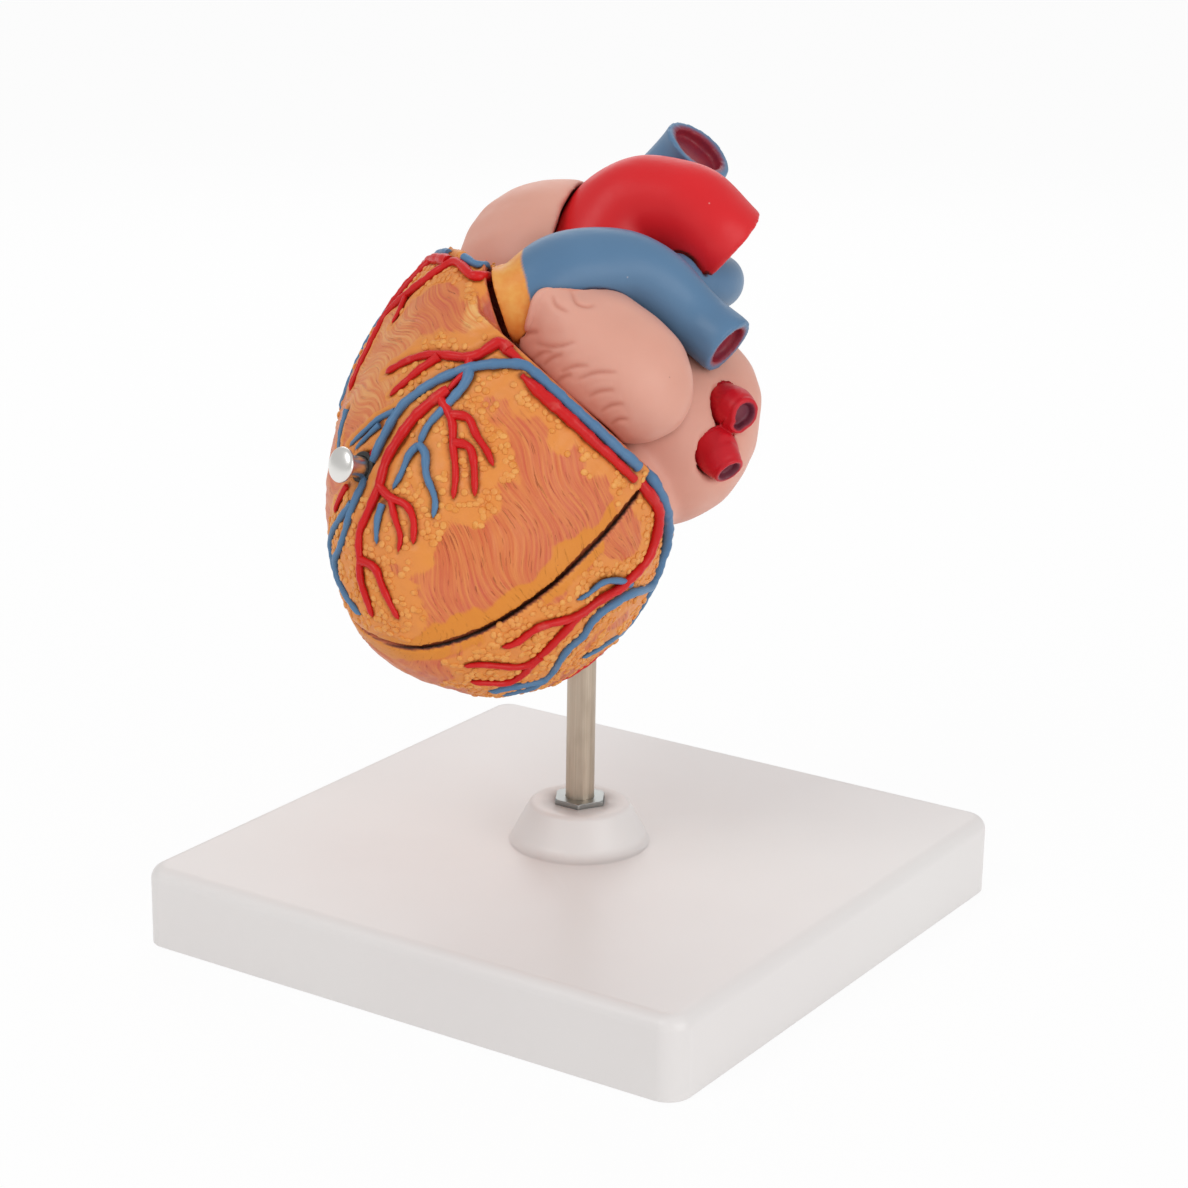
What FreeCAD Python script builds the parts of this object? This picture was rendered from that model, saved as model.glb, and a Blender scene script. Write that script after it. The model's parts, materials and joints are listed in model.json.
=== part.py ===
"""Human heart teaching model on a stand, in millimetres.

World frame: +Z up, origin under the middle of the base. The heart's own frame has x towards
the removable front wall, y towards the left ventricle and z from the apex to the great vessels.
"""
import FreeCAD, Part
import math
import os
import re

from FreeCAD import Vector

doc = FreeCAD.newDocument("HeartModel")

SIZES = [
    # stand
    ("base_side", 130, "square base plate"),
    ("base_height", 17, "height of the plate"),
    ("base_corner", 5, "plan radius of the corners"),
    ("base_edge", 3, "rounding of the top edge"),
    ("base_wall", 2.6, "side wall of the hollow moulding"),
    ("base_deck", 3, "top wall of the hollow moulding"),
    ("base_rib", 2, "crossed ribs below the deck"),
    ("hub_foot", 14.9, "radius of the hub where it meets the deck"),
    ("hub_crown", 10.4, "radius of the hub at its top"),
    ("hub_height", 8.7, "height of the hub above the deck"),
    ("hub_edge", 1.6, "rounding of the hub's rim"),
    ("boss_radius", 10, "boss below the deck"),
    ("boss_foot", 9, "height of the boss face above the table"),
    ("rod_radius", 3, "M6 rod"),
    ("rod_foot", 1.5, "height of the rod's lower end"),
    ("rod_top", 70, "height of the rod's upper end"),
    ("rod_bevel", 0.6, "bevel of both rod ends"),
    ("rod_hole", 3.3, "clearance hole through the base"),
    ("nut_flats", 10, "across the flats"),
    ("nut_height", 5, "hexagon nut"),
    ("nut_proud", 1.1, "top nut above the hub"),
    ("nut_gap", 0.1, "recess round the top nut"),
    ("thread_gap", 0.02, "nut bore to rod"),
    ("washer_radius", 6.2, "washer below the boss"),
    ("washer_height", 1.6, "thickness of the washer"),
    # heart on its rod
    ("heart_x", -17.5, "origin of the heart frame"),
    ("heart_y", -13.1, "origin of the heart frame"),
    ("heart_z", 88, "origin of the heart frame"),
    ("heading", 32.8, "turn about the vertical"),
    ("lean", 56.2, "long axis off the vertical"),
    ("twist", 66.5, "turn about the long axis"),
    ("sleeve_wall", 1.5, "bearing sleeve on the rod"),
    ("sleeve_foot", 58.5, "height of the sleeve's lower end"),
    ("sleeve_cap", 1.5, "closed end of the sleeve"),
    ("running_gap", 0.05, "radial clearance of turning and sliding fits"),
    ("socket_wall", 1.5, "tube in the heart"),
    ("socket_cap", 1.5, "closed end of the tube"),
    ("socket_boss", 2.6, "body round the tube"),
    # ventricles
    ("heart_radius", 39.8, "widest section"),
    ("wide_plane", 12.2, "height of the widest section"),
    ("apex_reach", 47.5, "widest section to apex"),
    ("valve_plane", 28, "flat top of the ventricles"),
    ("roof", 5, "thickness of the valve plane"),
    ("seat_fall", 14.3, "slope of the front wall's top below the left auricle"),
    ("lead_x", 3.33, "middle of the widest section"),
    ("lead_y", -2.45, "middle of the widest section"),
    ("drift_x", -8.1, "slope of the middle towards the apex"),
    ("drift_y", 11.45, "slope of the middle towards the apex"),
    ("curl_x", 14.56, "curve of the middle towards the apex"),
    ("curl_y", 7.09, "curve of the middle towards the apex"),
    ("seam_plane", 13.3, "cut between body and front wall"),
    ("seam_gap", 0.5, "gap of the cut"),
    ("septum_plane", 1.9, "middle of the septum"),
    ("septum_half", 4.5, "half the septum"),
    ("septum_swing", 2.3, "septum leans to the right at the valve plane"),
    ("left_width", 12, "half width of the left chamber"),
    ("left_depth", 20, "half depth of the left chamber"),
    ("right_width", 16, "half width of the right chamber"),
    ("right_depth", 24, "half depth of the right chamber"),
    ("chamber_x", 6, "middle of both chambers"),
    # pulmonary root
    ("root_x", 35.1, "middle of the pulmonary root"),
    ("root_y", -9.5, "middle of the pulmonary root"),
    ("root_rise", -1.2, "root above the valve plane"),
    ("root_radius", 8.6, "outer radius of the root"),
    ("root_wall", 2, "wall of the outflow"),
    ("root_gap", 1, "gap between wall and trunk"),
    ("root_lip", 0.4, "rim of the outflow beyond the trunk"),
    ("way_out", 3.2, "extra room behind the trunk, for the wall's way out"),
    ("root_lean", 30, "root axis off the heart axis"),
    ("root_turn", 91, "heading of the root axis"),
    ("conus_radius", 11.5, "foot of the outflow"),
    ("conus_set", 8, "foot of the outflow behind its root"),
    # great vessels
    ("aorta_radius", 9.8, "arch"),
    ("aorta_wall", 1.7, "wall at the cut end"),
    ("artery_radius", 8.2, "pulmonary trunk"),
    ("branch_radius", 6.3, "left and right branch"),
    ("artery_wall", 1.5, "wall at the cut ends"),
    ("caval_radius", 8.1, "upper caval vein"),
    ("caval_wall", 1.5, "wall at the cut ends"),
    ("lower_caval_radius", 7.6, "lower caval vein"),
    ("lumen_depth", 2.2, "recess in the cut ends"),
    ("vein_foot", 5, "foot of the pulmonary veins"),
    ("vein_mouth", 3.3, "rim of the pulmonary veins"),
    ("vein_bore", 2.4, "bore of the pulmonary veins"),
    ("vein_reach", 3.6, "pulmonary vein beyond its seat"),
    ("vein_recess", 1.7, "depth of the pulmonary veins' bore"),
    ("vein_root", 4.5, "pulmonary vein inside the atrium"),
    ("rest_gap", 0.35, "atria and auricle above the front wall"),
    # valves
    ("mitral_radius", 7.2, "orifice"),
    ("tricuspid_radius", 8.5, "orifice"),
    ("aortic_radius", 5.2, "orifice"),
    ("leaflet", 0.9, "thickness of the valve leaflets"),
    ("leaflet_drop", 11, "length of the inlet valves"),
    ("cusp_rise", 3.5, "height of the outlet valves"),
    ("cord_radius", 0.45, "tendinous cords"),
    ("muscle_radius", 3.2, "papillary muscles"),
    # locking pin and pegs
    ("pin_x", 33, "pin where it leaves the wall"),
    ("pin_z", -15, "pin where it leaves the wall"),
    ("pin_tilt", 37.4, "pin axis towards the apex"),
    ("pin_radius", 2.1, "shank"),
    ("pin_stem", 6, "shank outside the wall"),
    ("knob_radius", 3.5, "turned knob"),
    ("knob_height", 1.9, "turned knob"),
    ("knob_edge", 0.7, "rounding of the knob"),
    ("bush_wall", 1, "dark sleeve in the wall"),
    ("bush_depth", 6, "sleeve inside the wall"),
    ("bush_proud", 1.6, "sleeve outside the wall"),
    ("pin_grip", 8, "pin inside its socket"),
    ("pin_socket_wall", 1.2, "tube in the septum"),
    ("bore_gap", 0.3, "wall bore round the shank"),
    ("peg_radius", 1.5, "locating pegs"),
    ("peg_root", 3, "peg inside the body"),
    ("peg_reach", 4, "peg beyond the seam"),
]

sheet = doc.addObject("Spreadsheet::Sheet", "Sizes")
for row, (alias, value, note) in enumerate(SIZES, start=1):
    sheet.set(f"A{row}", alias)
    sheet.set(f"B{row}", str(value))
    sheet.set(f"C{row}", note)
    sheet.setAlias(f"B{row}", alias)
doc.recompute()

ALIASES = re.compile(r"\b(" + "|".join(alias for alias, _, _ in SIZES) + r")\b")
BIG = 400
nodes = {}


def size(alias):
    return float(sheet.get(alias))


def bind(item, field, formula):
    """Ties one property of an object to the sheet."""
    item.setExpression(field, ALIASES.sub(r"Sizes.\1", str(formula)))


def make(kind, name, at=(0, 0, 0), turn=None, **fields):
    """A document object with its sizes and its place tied to the sheet."""
    item = doc.addObject(kind, name)
    for field, formula in fields.items():
        bind(item, field, formula)
    return place(item, at, turn)


def place(item, at, turn=None):
    x, y, z = at
    spin = turn or "rotation(vector(0; 0; 1); 0)"
    bind(item, "Placement", f"placement(vector({x}; {y}; {z}); {spin})")
    return item


def cylinder(name, radius, height, at=(0, 0, 0), turn=None):
    return make("Part::Cylinder", name, at, turn, Radius=radius, Height=height)


def box(name, length, width, height, at=(0, 0, 0), turn=None):
    return make("Part::Box", name, at, turn, Length=length, Width=width, Height=height)


def cone(name, foot, top, height, at=(0, 0, 0), turn=None):
    return make("Part::Cone", name, at, turn, Radius1=foot, Radius2=top, Height=height)


def egg(name, radii, at, turn=None):
    """An ellipsoid with its three half axes along x, y and z."""
    x, y, z = radii
    item = make("Part::Ellipsoid", name, at, turn, Radius2=x, Radius3=y, Radius1=z)
    item.Angle1, item.Angle2, item.Angle3 = -90, 90, 360
    return item


def cut(name, base, *tools):
    item = doc.addObject("Part::Cut", name)
    item.Base = base
    item.Tool = tools[0] if len(tools) == 1 else fuse(name + "_tools", *tools)
    item.Refine = False
    return item


def fuse(name, *parts):
    item = doc.addObject("Part::MultiFuse", name)
    item.Shapes = list(parts)
    item.Refine = False
    return item


def carve(name, base, *tools):
    """Cuts one tool after another, which holds where tools touch each other."""
    for number, tool in enumerate(tools[:-1]):
        base = cut(f"{name}_{number}", base, tool)
    return cut(name, base, tools[-1])


def common(name, first, second):
    item = doc.addObject("Part::MultiCommon", name)
    item.Shapes = [first, second]
    item.Refine = False
    return item


def group(name, *parts):
    item = doc.addObject("Part::Compound", name)
    item.Links = list(parts)
    return item


def ring(name, x, y, z, radius, turn=None):
    return make("Part::Circle", name, (x, y, z), turn, Radius=radius)


def loft(name, sections):
    item = doc.addObject("Part::Loft", name)
    item.Sections = sections
    item.Solid = True
    return item


def node(name, item):
    """Names a finished sub-part; its label is its file's name."""
    item.Label = name
    nodes[name] = item
    return item


def rounded(name, base, radius, wanted):
    """Part fillet of the edges that wanted() picks by their middle point."""
    doc.recompute()
    item = doc.addObject("Part::Fillet", name)
    item.Base = base
    reach = size(radius)
    item.Edges = [
        (number, reach, reach)
        for number, edge in enumerate(base.Shape.Edges, start=1)
        if wanted(edge)
    ]
    return item


def middle(edge):
    return edge.valueAt((edge.FirstParameter + edge.LastParameter) / 2)


def aim(direction):
    """Expression that turns +Z to a fixed direction."""
    x, y, z = direction
    off = math.degrees(math.acos(z / math.sqrt(x * x + y * y + z * z)))
    return f"rotation(vector({-y:.5f}; {x:.5f}; 0); {off:.4f})"


PIN_TURN = "rotationy(90 + pin_tilt)"
ROOT_TURN = "rotation(vector(-sin(root_turn); cos(root_turn); 0); root_lean)"


def along_pin(reach, x="pin_x", y="septum_plane", z="pin_z"):
    """A point on a line parallel to the pin, at a distance outwards from the given point."""
    return (f"{x} + ({reach}) * cos(pin_tilt)", y, f"{z} - ({reach}) * sin(pin_tilt)")


def along_root(reach):
    """A point on the axis of the pulmonary root, at a height above the root's plane."""
    return (
        f"root_x + ({reach}) * sin(root_lean) * cos(root_turn)",
        f"root_y + ({reach}) * sin(root_lean) * sin(root_turn)",
        f"valve_plane + root_rise + ({reach}) * cos(root_lean)",
    )


# ---------------------------------------------------------------- stand


def base_plate():
    slab = box("slab", "base_side", "base_side", "base_height", ("-base_side / 2", "-base_side / 2", 0))
    upright = rounded("slab_corners", slab, "base_corner", lambda edge: abs(edge.tangentAt(0).z) > 0.9)
    top = size("base_height")
    eased = rounded("slab_edge", upright, "base_edge", lambda edge: abs(middle(edge).z - top) < 1e-4)
    hub = cone("hub", "hub_foot", "hub_crown", "hub_height", (0, 0, "base_height"))
    crown = top + size("hub_height")
    soft_hub = rounded("soft_hub", hub, "hub_edge", lambda edge: abs(middle(edge).z - crown) < 1e-4)
    bays = []
    inner = "(base_side / 2 - base_wall - base_rib / 2)"
    for number, (sx, sy) in enumerate([(-1, -1), (1, -1), (1, 1), (-1, 1)]):
        x = "base_rib / 2" if sx > 0 else f"-base_rib / 2 - {inner}"
        y = "base_rib / 2" if sy > 0 else f"-base_rib / 2 - {inner}"
        bays.append(box(f"bay_{number}", inner, inner, "base_height - base_deck + 1", (x, y, -1)))
    boss = cylinder("boss", "boss_radius", "base_height - boss_foot", (0, 0, "boss_foot"))
    shell = fuse("shell", cut("hollow_slab", eased, *bays), boss, soft_hub)
    nut_space = cylinder("nut_space", "boss_radius", "boss_foot + 1", (0, 0, -1))
    hole = cylinder("rod_way", "rod_hole", BIG, (0, 0, -1))
    recess = hexagon("nut_recess", "nut_flats / 2 + nut_gap", "nut_height + 1", top_nut_foot())
    return node("base_plate", cut("base_plate_solid", shell, nut_space, hole, recess))


def top_nut_foot():
    return "base_height + hub_height + nut_proud - nut_height"


def hexagon(name, apothem, height, z):
    item = doc.addObject("Part::Prism", name)
    item.Polygon = 6
    bind(item, "Circumradius", f"({apothem}) / cos(30)")
    bind(item, "Height", height)
    bind(item, "Placement.Base.z", z)
    return item


def nut(name, z):
    blank = hexagon(name + "_blank", "nut_flats / 2", "nut_height", z)
    wide = "nut_flats / 2 + nut_height"
    dome = cone(name + "_bevel", wide, "nut_flats / 2 - 0.1", "nut_height + 0.6", (0, 0, z))
    body = common(name + "_body", blank, dome)
    bore = cylinder(name + "_bore", "rod_radius + thread_gap", "nut_height + 2", (0, 0, f"{z} - 1"))
    return node(name, cut(name + "_solid", body, bore))


def washer():
    z = "boss_foot - washer_height"
    disc = cylinder("washer_disc", "washer_radius", "washer_height", (0, 0, z))
    bore = cylinder("washer_bore", "rod_hole", "washer_height + 2", (0, 0, f"{z} - 1"))
    return node("washer", cut("washer_solid", disc, bore))


def rod():
    shaft = cylinder("rod_shaft", "rod_radius", "rod_top - rod_foot", (0, 0, "rod_foot"))
    doc.recompute()
    item = doc.addObject("Part::Chamfer", "rod_bevelled")
    item.Base = shaft
    bevel = size("rod_bevel")
    item.Edges = [(n, bevel, bevel) for n, e in enumerate(shaft.Shape.Edges, start=1) if e.Closed]
    return node("support_rod", item)


# ---------------------------------------------------------------- rod end in the heart

frame = doc.addObject("App::Placement", "HeartFrame")
bind(
    frame,
    "Placement",
    "placement(vector(heart_x; heart_y; heart_z);"
    " rotationz(-heading) * rotationx(-lean) * rotationz(-twist))",
)


def in_heart(item):
    """Carries a piece that is modelled in the heart frame to its place on the stand."""
    item.setExpression("Placement", "HeartFrame.Placement")
    return item


def on_rod(name, radius, height, z):
    """An upright cylinder about the rod, as it lies in the heart frame."""
    item = doc.addObject("Part::Cylinder", name)
    bind(item, "Radius", radius)
    bind(item, "Height", height)
    upright = ALIASES.sub(r"Sizes.\1", f"placement(vector(0; 0; {z}); rotation(vector(0; 0; 1); 0))")
    item.setExpression("Placement", f"minvert(HeartFrame.Placement) * {upright}")
    return item


SLEEVE_OUT = "(rod_radius + running_gap + sleeve_wall)"
SLEEVE_TOP = "(rod_top + running_gap + sleeve_cap)"
SOCKET_BORE = f"({SLEEVE_OUT} + running_gap)"
SOCKET_OUT = f"({SOCKET_BORE} + socket_wall)"
SOCKET_TOP = f"({SLEEVE_TOP} + running_gap + socket_cap)"


def rod_sleeve():
    outer = cylinder("sleeve_outer", SLEEVE_OUT, f"{SLEEVE_TOP} - sleeve_foot", (0, 0, "sleeve_foot"))
    bore = cylinder("sleeve_bore", "rod_radius + running_gap", "rod_top + running_gap", (0, 0, 0))
    return node("rod_sleeve", cut("sleeve_solid", outer, bore))


def rod_socket(ventricles):
    tube = on_rod("socket_outer", SOCKET_OUT, SOCKET_TOP, 0)
    bore = on_rod("socket_bore", SOCKET_BORE, f"{SLEEVE_TOP} + running_gap", 0)
    inside = common("socket_inside", cut("socket_tube", tube, bore), ventricles)
    return node("rod_socket", in_heart(inside))


# ---------------------------------------------------------------- ventricles

# Sections from the valve plane to the apex, as shares of the way from the widest section.
LEVELS = (-0.12, 0.1, 0.32, 0.52, 0.69, 0.83, 0.92, 0.97, 0.9985)
FULLNESS = 0.58


def section_radius(share):
    return f"heart_radius * {(1 - share * share) ** FULLNESS:.5f}"


def ventricle_form(name="ventricle_form", skin=0):
    """The egg of both ventricles, cut off flat at the valve plane."""
    top_share = (size("wide_plane") - size("valve_plane")) / size("apex_reach")
    sections = []
    for number, share in enumerate((top_share,) + LEVELS):
        x = f"lead_x + drift_x * {share:.5f} + curl_x * {share * share:.5f}"
        y = f"lead_y + drift_y * {share:.5f} + curl_y * {share * share:.5f}"
        z = f"wide_plane - apex_reach * {share:.5f}"
        sections.append(ring(f"{name}_{number}", x, y, z, f"{section_radius(share)} - {skin}"))
    return loft(name, sections)


# Each chamber's ovals from the valve plane down: share of the way from the widest section to
# the apex, share of the septum's swing, size of the oval, and its shift to the front.
TOP_OVALS = ((None, 1, 0.92, 0), (0.14, 0.2, 1, 0))
CHAMBER_STEPS = {
    "left": TOP_OVALS + ((0.43, 0, 0.84, 0.8), (0.6, 0, 0.56, 1.8), (0.74, -0.1, 0.25, 3)),
    "right": TOP_OVALS + ((0.43, 0, 0.72, 0.8), (0.6, 0, 0.44, 1.8), (0.72, -0.1, 0.2, 3)),
}


def chamber(side):
    """One ventricle's hollow: a loft of ovals that lie against the septum and shrink to the apex."""
    way = 1 if side == "left" else -1
    sections = []
    for number, (share, swing, scale, forward) in enumerate(CHAMBER_STEPS[side]):
        z = "valve_plane - roof" if share is None else f"wide_plane - apex_reach * {share}"
        septum = f"septum_plane - septum_swing * {swing}"
        y = f"{septum} + ({way}) * (septum_half + {side}_width * {scale})"
        oval = make("Part::Ellipse", f"{side}_oval_{number}", (f"chamber_x + {forward}", y, z))
        bind(oval, "MajorRadius", f"{side}_depth * {scale}")
        bind(oval, "MinorRadius", f"{side}_width * {scale}")
        sections.append(oval)
    return loft(f"{side}_chamber", sections)


def outflow(name, skin):
    """The cone that leads from the right ventricle to the pulmonary root."""
    foot = ring(f"{name}_foot", "root_x - conus_set", "root_y", "valve_plane - 20", f"conus_radius - {skin}")
    top = ring(f"{name}_top", *along_root(0), f"root_radius + root_lip - {skin}", ROOT_TURN)
    return loft(name, [foot, top])


def orifice(name, x, y, radius):
    return cylinder(name, radius, "roof + 2", (x, y, "valve_plane - roof - 1"))


SEPTUM_TOP = "septum_plane - septum_swing"
MITRAL = ("chamber_x - 8", f"{SEPTUM_TOP} + septum_half + left_width + 1.5")
TRICUSPID = ("chamber_x - 7", f"{SEPTUM_TOP} - septum_half - right_width + 1")
AORTIC = ("chamber_x + 1.5", f"{SEPTUM_TOP} + septum_half + 4.5")

PEG_SEATS = (
    ("heart_radius - 8.3", "valve_plane - 13"),
    ("-heart_radius + 1.9", "wide_plane"),
    ("13.3", "wide_plane - apex_reach + 8.5"),
)


# Right-hand end of the sloped seat below the left auricle.
SEAT_RIGHT = "root_y + root_radius"


def pegs():
    """Short round pegs that lead the front wall home, parallel to the locking pin."""
    made = []
    for number, (y, z) in enumerate(PEG_SEATS):
        start = along_pin("-peg_root", "seam_plane", y, z)
        made.append(cylinder(f"peg_{number}", "peg_radius", "peg_root + peg_reach", start, PIN_TURN))
    return made


def hearts():
    form = ventricle_form()
    left = chamber("left")
    right = chamber("right")
    half_space = box("half_space", BIG, BIG, BIG, ("seam_plane - seam_gap / 2", -BIG / 2, -BIG / 2))
    behind = box("behind_space", BIG, BIG, BIG, (f"seam_plane + seam_gap / 2 - {BIG}", -BIG / 2, -BIG / 2))

    round_rod = on_rod("boss_round", f"{SOCKET_OUT} + socket_boss", f"{SOCKET_TOP} + socket_boss", 0)
    boss = common("rod_boss", round_rod, form)
    rod_hole = on_rod("rod_hole_in_heart", SOCKET_OUT, SOCKET_TOP, 0)
    holes = [
        orifice("mitral_hole", *MITRAL, "mitral_radius"),
        orifice("tricuspid_hole", *TRICUSPID, "tricuspid_radius"),
        orifice("aortic_hole", *AORTIC, "aortic_radius"),
    ]
    peg_list = pegs()
    socket_reach = "(pin_x - seam_plane) / cos(pin_tilt)"
    bore = "pin_radius + running_gap"
    pin_tip = f"-({socket_reach}) - pin_grip"
    pin_seat = cylinder(
        "pin_seat", bore + " + pin_socket_wall", f"pin_grip + {socket_reach}",
        along_pin(f"{pin_tip} - pin_socket_wall"), PIN_TURN,
    )
    hollow = cut("ventricle_hollow", form, left, right, *holes)
    with_boss = fuse("ventricle_boss", hollow, boss)
    back = cut("back_body_solid", with_boss, half_space, rod_hole, pin_seat, *peg_list)
    node("back_heart_body", in_heart(back))

    pin_tube = cut(
        "pin_tube", pin_seat,
        cylinder("pin_tube_bore", bore, BIG, along_pin(f"{pin_tip} - running_gap"), PIN_TURN),
    )
    node("pin_socket", in_heart(cut("pin_socket_solid", pin_tube, half_space)))
    node("locating_pegs", in_heart(group("peg_group", *peg_list)))

    x, y, z = along_root(0)
    room = "root_radius + root_gap"
    at_rest = cylinder("trunk_room", room, "root_radius * 3", (x, y, z), ROOT_TURN)
    on_way = cylinder("trunk_way_out", room, "root_radius * 3", (f"{x} - way_out", y, z), ROOT_TURN)
    trunk_space = fuse("trunk_space", at_rest, on_way)
    corner = ("seam_plane", SEAT_RIGHT, "valve_plane")
    seat = box("auricle_seat", BIG, BIG, BIG, corner, "rotationy(seat_fall)")
    over_root = cylinder("over_root", BIG / 2, BIG / 2, along_root("-root_gap * 2"), ROOT_TURN)
    corner = ("seam_plane", -BIG / 2, "valve_plane")
    over_seat = box("over_seat", BIG, BIG, BIG, corner, "rotationy(seat_fall)")
    over_rim = common("over_rim", over_root, over_seat)
    trimmed = carve("ventricle_trimmed", form, trunk_space, seat, over_rim)
    front_form = fuse("front_form", trimmed, outflow("conus", 0))
    bush_round = bore + " + bush_wall"
    bush_long = "bush_depth + heart_radius"
    bush_seat = cylinder("bush_seat", bush_round, bush_long, along_pin("-bush_depth"), PIN_TURN)
    pin_way = cylinder("pin_way", "pin_radius + bore_gap", BIG, along_pin("-100"), PIN_TURN)
    peg_holes = [
        cylinder(f"peg_hole_{n}", "peg_radius + running_gap", "peg_root + peg_reach + 1",
                 along_pin("-peg_root", "seam_plane", y, z), PIN_TURN)
        for n, (y, z) in enumerate(PEG_SEATS)
    ]
    front = cut(
        "front_wall_solid", front_form, behind, left, right, outflow("conus_bore", "root_wall"),
        bush_seat, pin_way, *peg_holes,
    )
    node("front_heart_wall", in_heart(front))
    return form, left, right


def locking_pin():
    reach = "(pin_x - seam_plane) / cos(pin_tilt) + pin_grip"
    shank = cylinder("pin_shank", "pin_radius", f"{reach} + pin_stem", along_pin(f"-({reach})"), PIN_TURN)
    head = cylinder("pin_head", "knob_radius", "knob_height", along_pin("pin_stem"), PIN_TURN)
    knob = rounded("pin_knob", head, "knob_edge", lambda edge: edge.Closed)
    node("locking_pin", in_heart(fuse("pin_solid", shank, knob)))
    outer = "pin_radius + running_gap + bush_wall"
    tube = cylinder("bush_tube", outer, "bush_depth + bush_proud", along_pin("-bush_depth"), PIN_TURN)
    bore = cylinder("bush_bore", "pin_radius + running_gap", BIG, along_pin("-100"), PIN_TURN)
    node("pin_bush", in_heart(cut("bush_solid", tube, bore)))


# ---------------------------------------------------------------- atria and vessels


def vessel(name, line, radii):
    """A lofted tube through stations (x, y, height above the valve plane)."""
    rings = []
    for number, (x, y, rise) in enumerate(line):
        before = line[max(number - 1, 0)]
        after = line[min(number + 1, len(line) - 1)]
        heading = [after[i] - before[i] for i in range(3)]
        rings.append(ring(f"{name}_{number}", x, y, f"valve_plane + {rise}", radii[number], aim(heading)))
    return loft(name, rings)


def lumen(name, line, radius, depth="lumen_depth"):
    """The recess in a vessel's cut end, at the last station of its line."""
    (ax, ay, az), (bx, by, bz) = line[-2], line[-1]
    run = Vector(bx - ax, by - ay, bz - az)
    run.normalize()
    back = [f"{b} - {depth} * {r:.5f}" for b, r in zip((bx, by, f"valve_plane + {bz}"), run)]
    return cylinder(name, radius, f"{depth} + 5", back, aim(run))


AORTA_LINE = (
    (7.5, 8.3, -7), (7.5, 8.1, 1), (8.4, 1.7, 9.6), (11.4, -9.2, 17), (16, -19.7, 24.4),
    (18.8, -23.4, 32.8), (19.2, -21.1, 40.1), (16.8, -15.5, 44.8), (13.4, -10.1, 46.3), (10, -5.3, 47.3),
)
TRUNK_LINE = (
    (34.9, -5.9, 5.2), (33.8, -6, 12.4), (30.4, -5.2, 18.2), (26, -3.4, 24),
    (20.6, 1.1, 27.6), (15.3, 7, 29.2), (13, 11.6, 29.7), (11.1, 16.4, 30.2),
)
RIGHT_BRANCH = ((18.5, -1.8, 27.5), (9, -6.1, 36.8), (0, -9.3, 43.1), (-6, -15.9, 45.2), (-9, -24, 44.9))
UPPER_CAVAL = ((5, -31, 24), (4.5, -33.5, 38), (7.4, -32.8, 50), (12.4, -30.8, 60))
LOWER_CAVAL = ((-6, -23.4, 15.7), (-16, -24.7, 12.8), (-26, -25.9, 10.4))


def great_vessels():
    radii = ["aorta_radius * 0.75"] * 2 + ["aorta_radius * 0.9"] + ["aorta_radius"] * 7
    aorta_form = vessel("aorta_form", AORTA_LINE, radii)
    lift = box("above_valves", BIG, BIG, BIG, (-BIG / 2, -BIG / 2, "valve_plane"))
    aorta_lumen = lumen("aorta_lumen", AORTA_LINE, "aorta_radius - aorta_wall")
    root_lumen = cylinder("aortic_root", "aortic_radius", "cusp_rise + 2", (*AORTIC, "valve_plane - 1"))
    aorta = cut("aorta_solid", common("aorta_lifted", aorta_form, lift), aorta_lumen, root_lumen)
    node("aorta", in_heart(aorta))

    root_at = along_root("root_gap")
    rings = [ring("trunk_root", *root_at, "root_radius", ROOT_TURN)]
    radii = ["artery_radius"] * 3 + ["artery_radius * 0.95", "artery_radius * 0.88"] + ["branch_radius"] * 3
    for number, (x, y, rise) in enumerate(TRUNK_LINE):
        before = TRUNK_LINE[max(number - 1, 0)]
        after = TRUNK_LINE[min(number + 1, len(TRUNK_LINE) - 1)]
        heading = [after[i] - before[i] for i in range(3)]
        rings.append(ring(f"trunk_{number}", x, y, f"valve_plane + {rise}", radii[number], aim(heading)))
    trunk_form = loft("trunk_form", rings)
    right_form = vessel("right_branch", RIGHT_BRANCH, ["branch_radius * 0.9"] * 5)
    root_bore = cylinder("trunk_bore", "root_radius - root_wall", "cusp_rise + 1", root_at, ROOT_TURN)
    trunk = cut(
        "trunk_solid", fuse("trunk_both", trunk_form, right_form), aorta_form, root_bore,
        lumen("left_branch_lumen", TRUNK_LINE, "branch_radius - artery_wall"),
        lumen("right_branch_lumen", RIGHT_BRANCH, "branch_radius * 0.9 - artery_wall"),
    )
    node("pulmonary_trunk", in_heart(trunk))
    return aorta_form, fuse("trunk_outer", trunk_form, right_form), root_at


# The way in which the right atrium draws back from the arch.
CREASE = (3.9, 3.045, -0.735)


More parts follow.
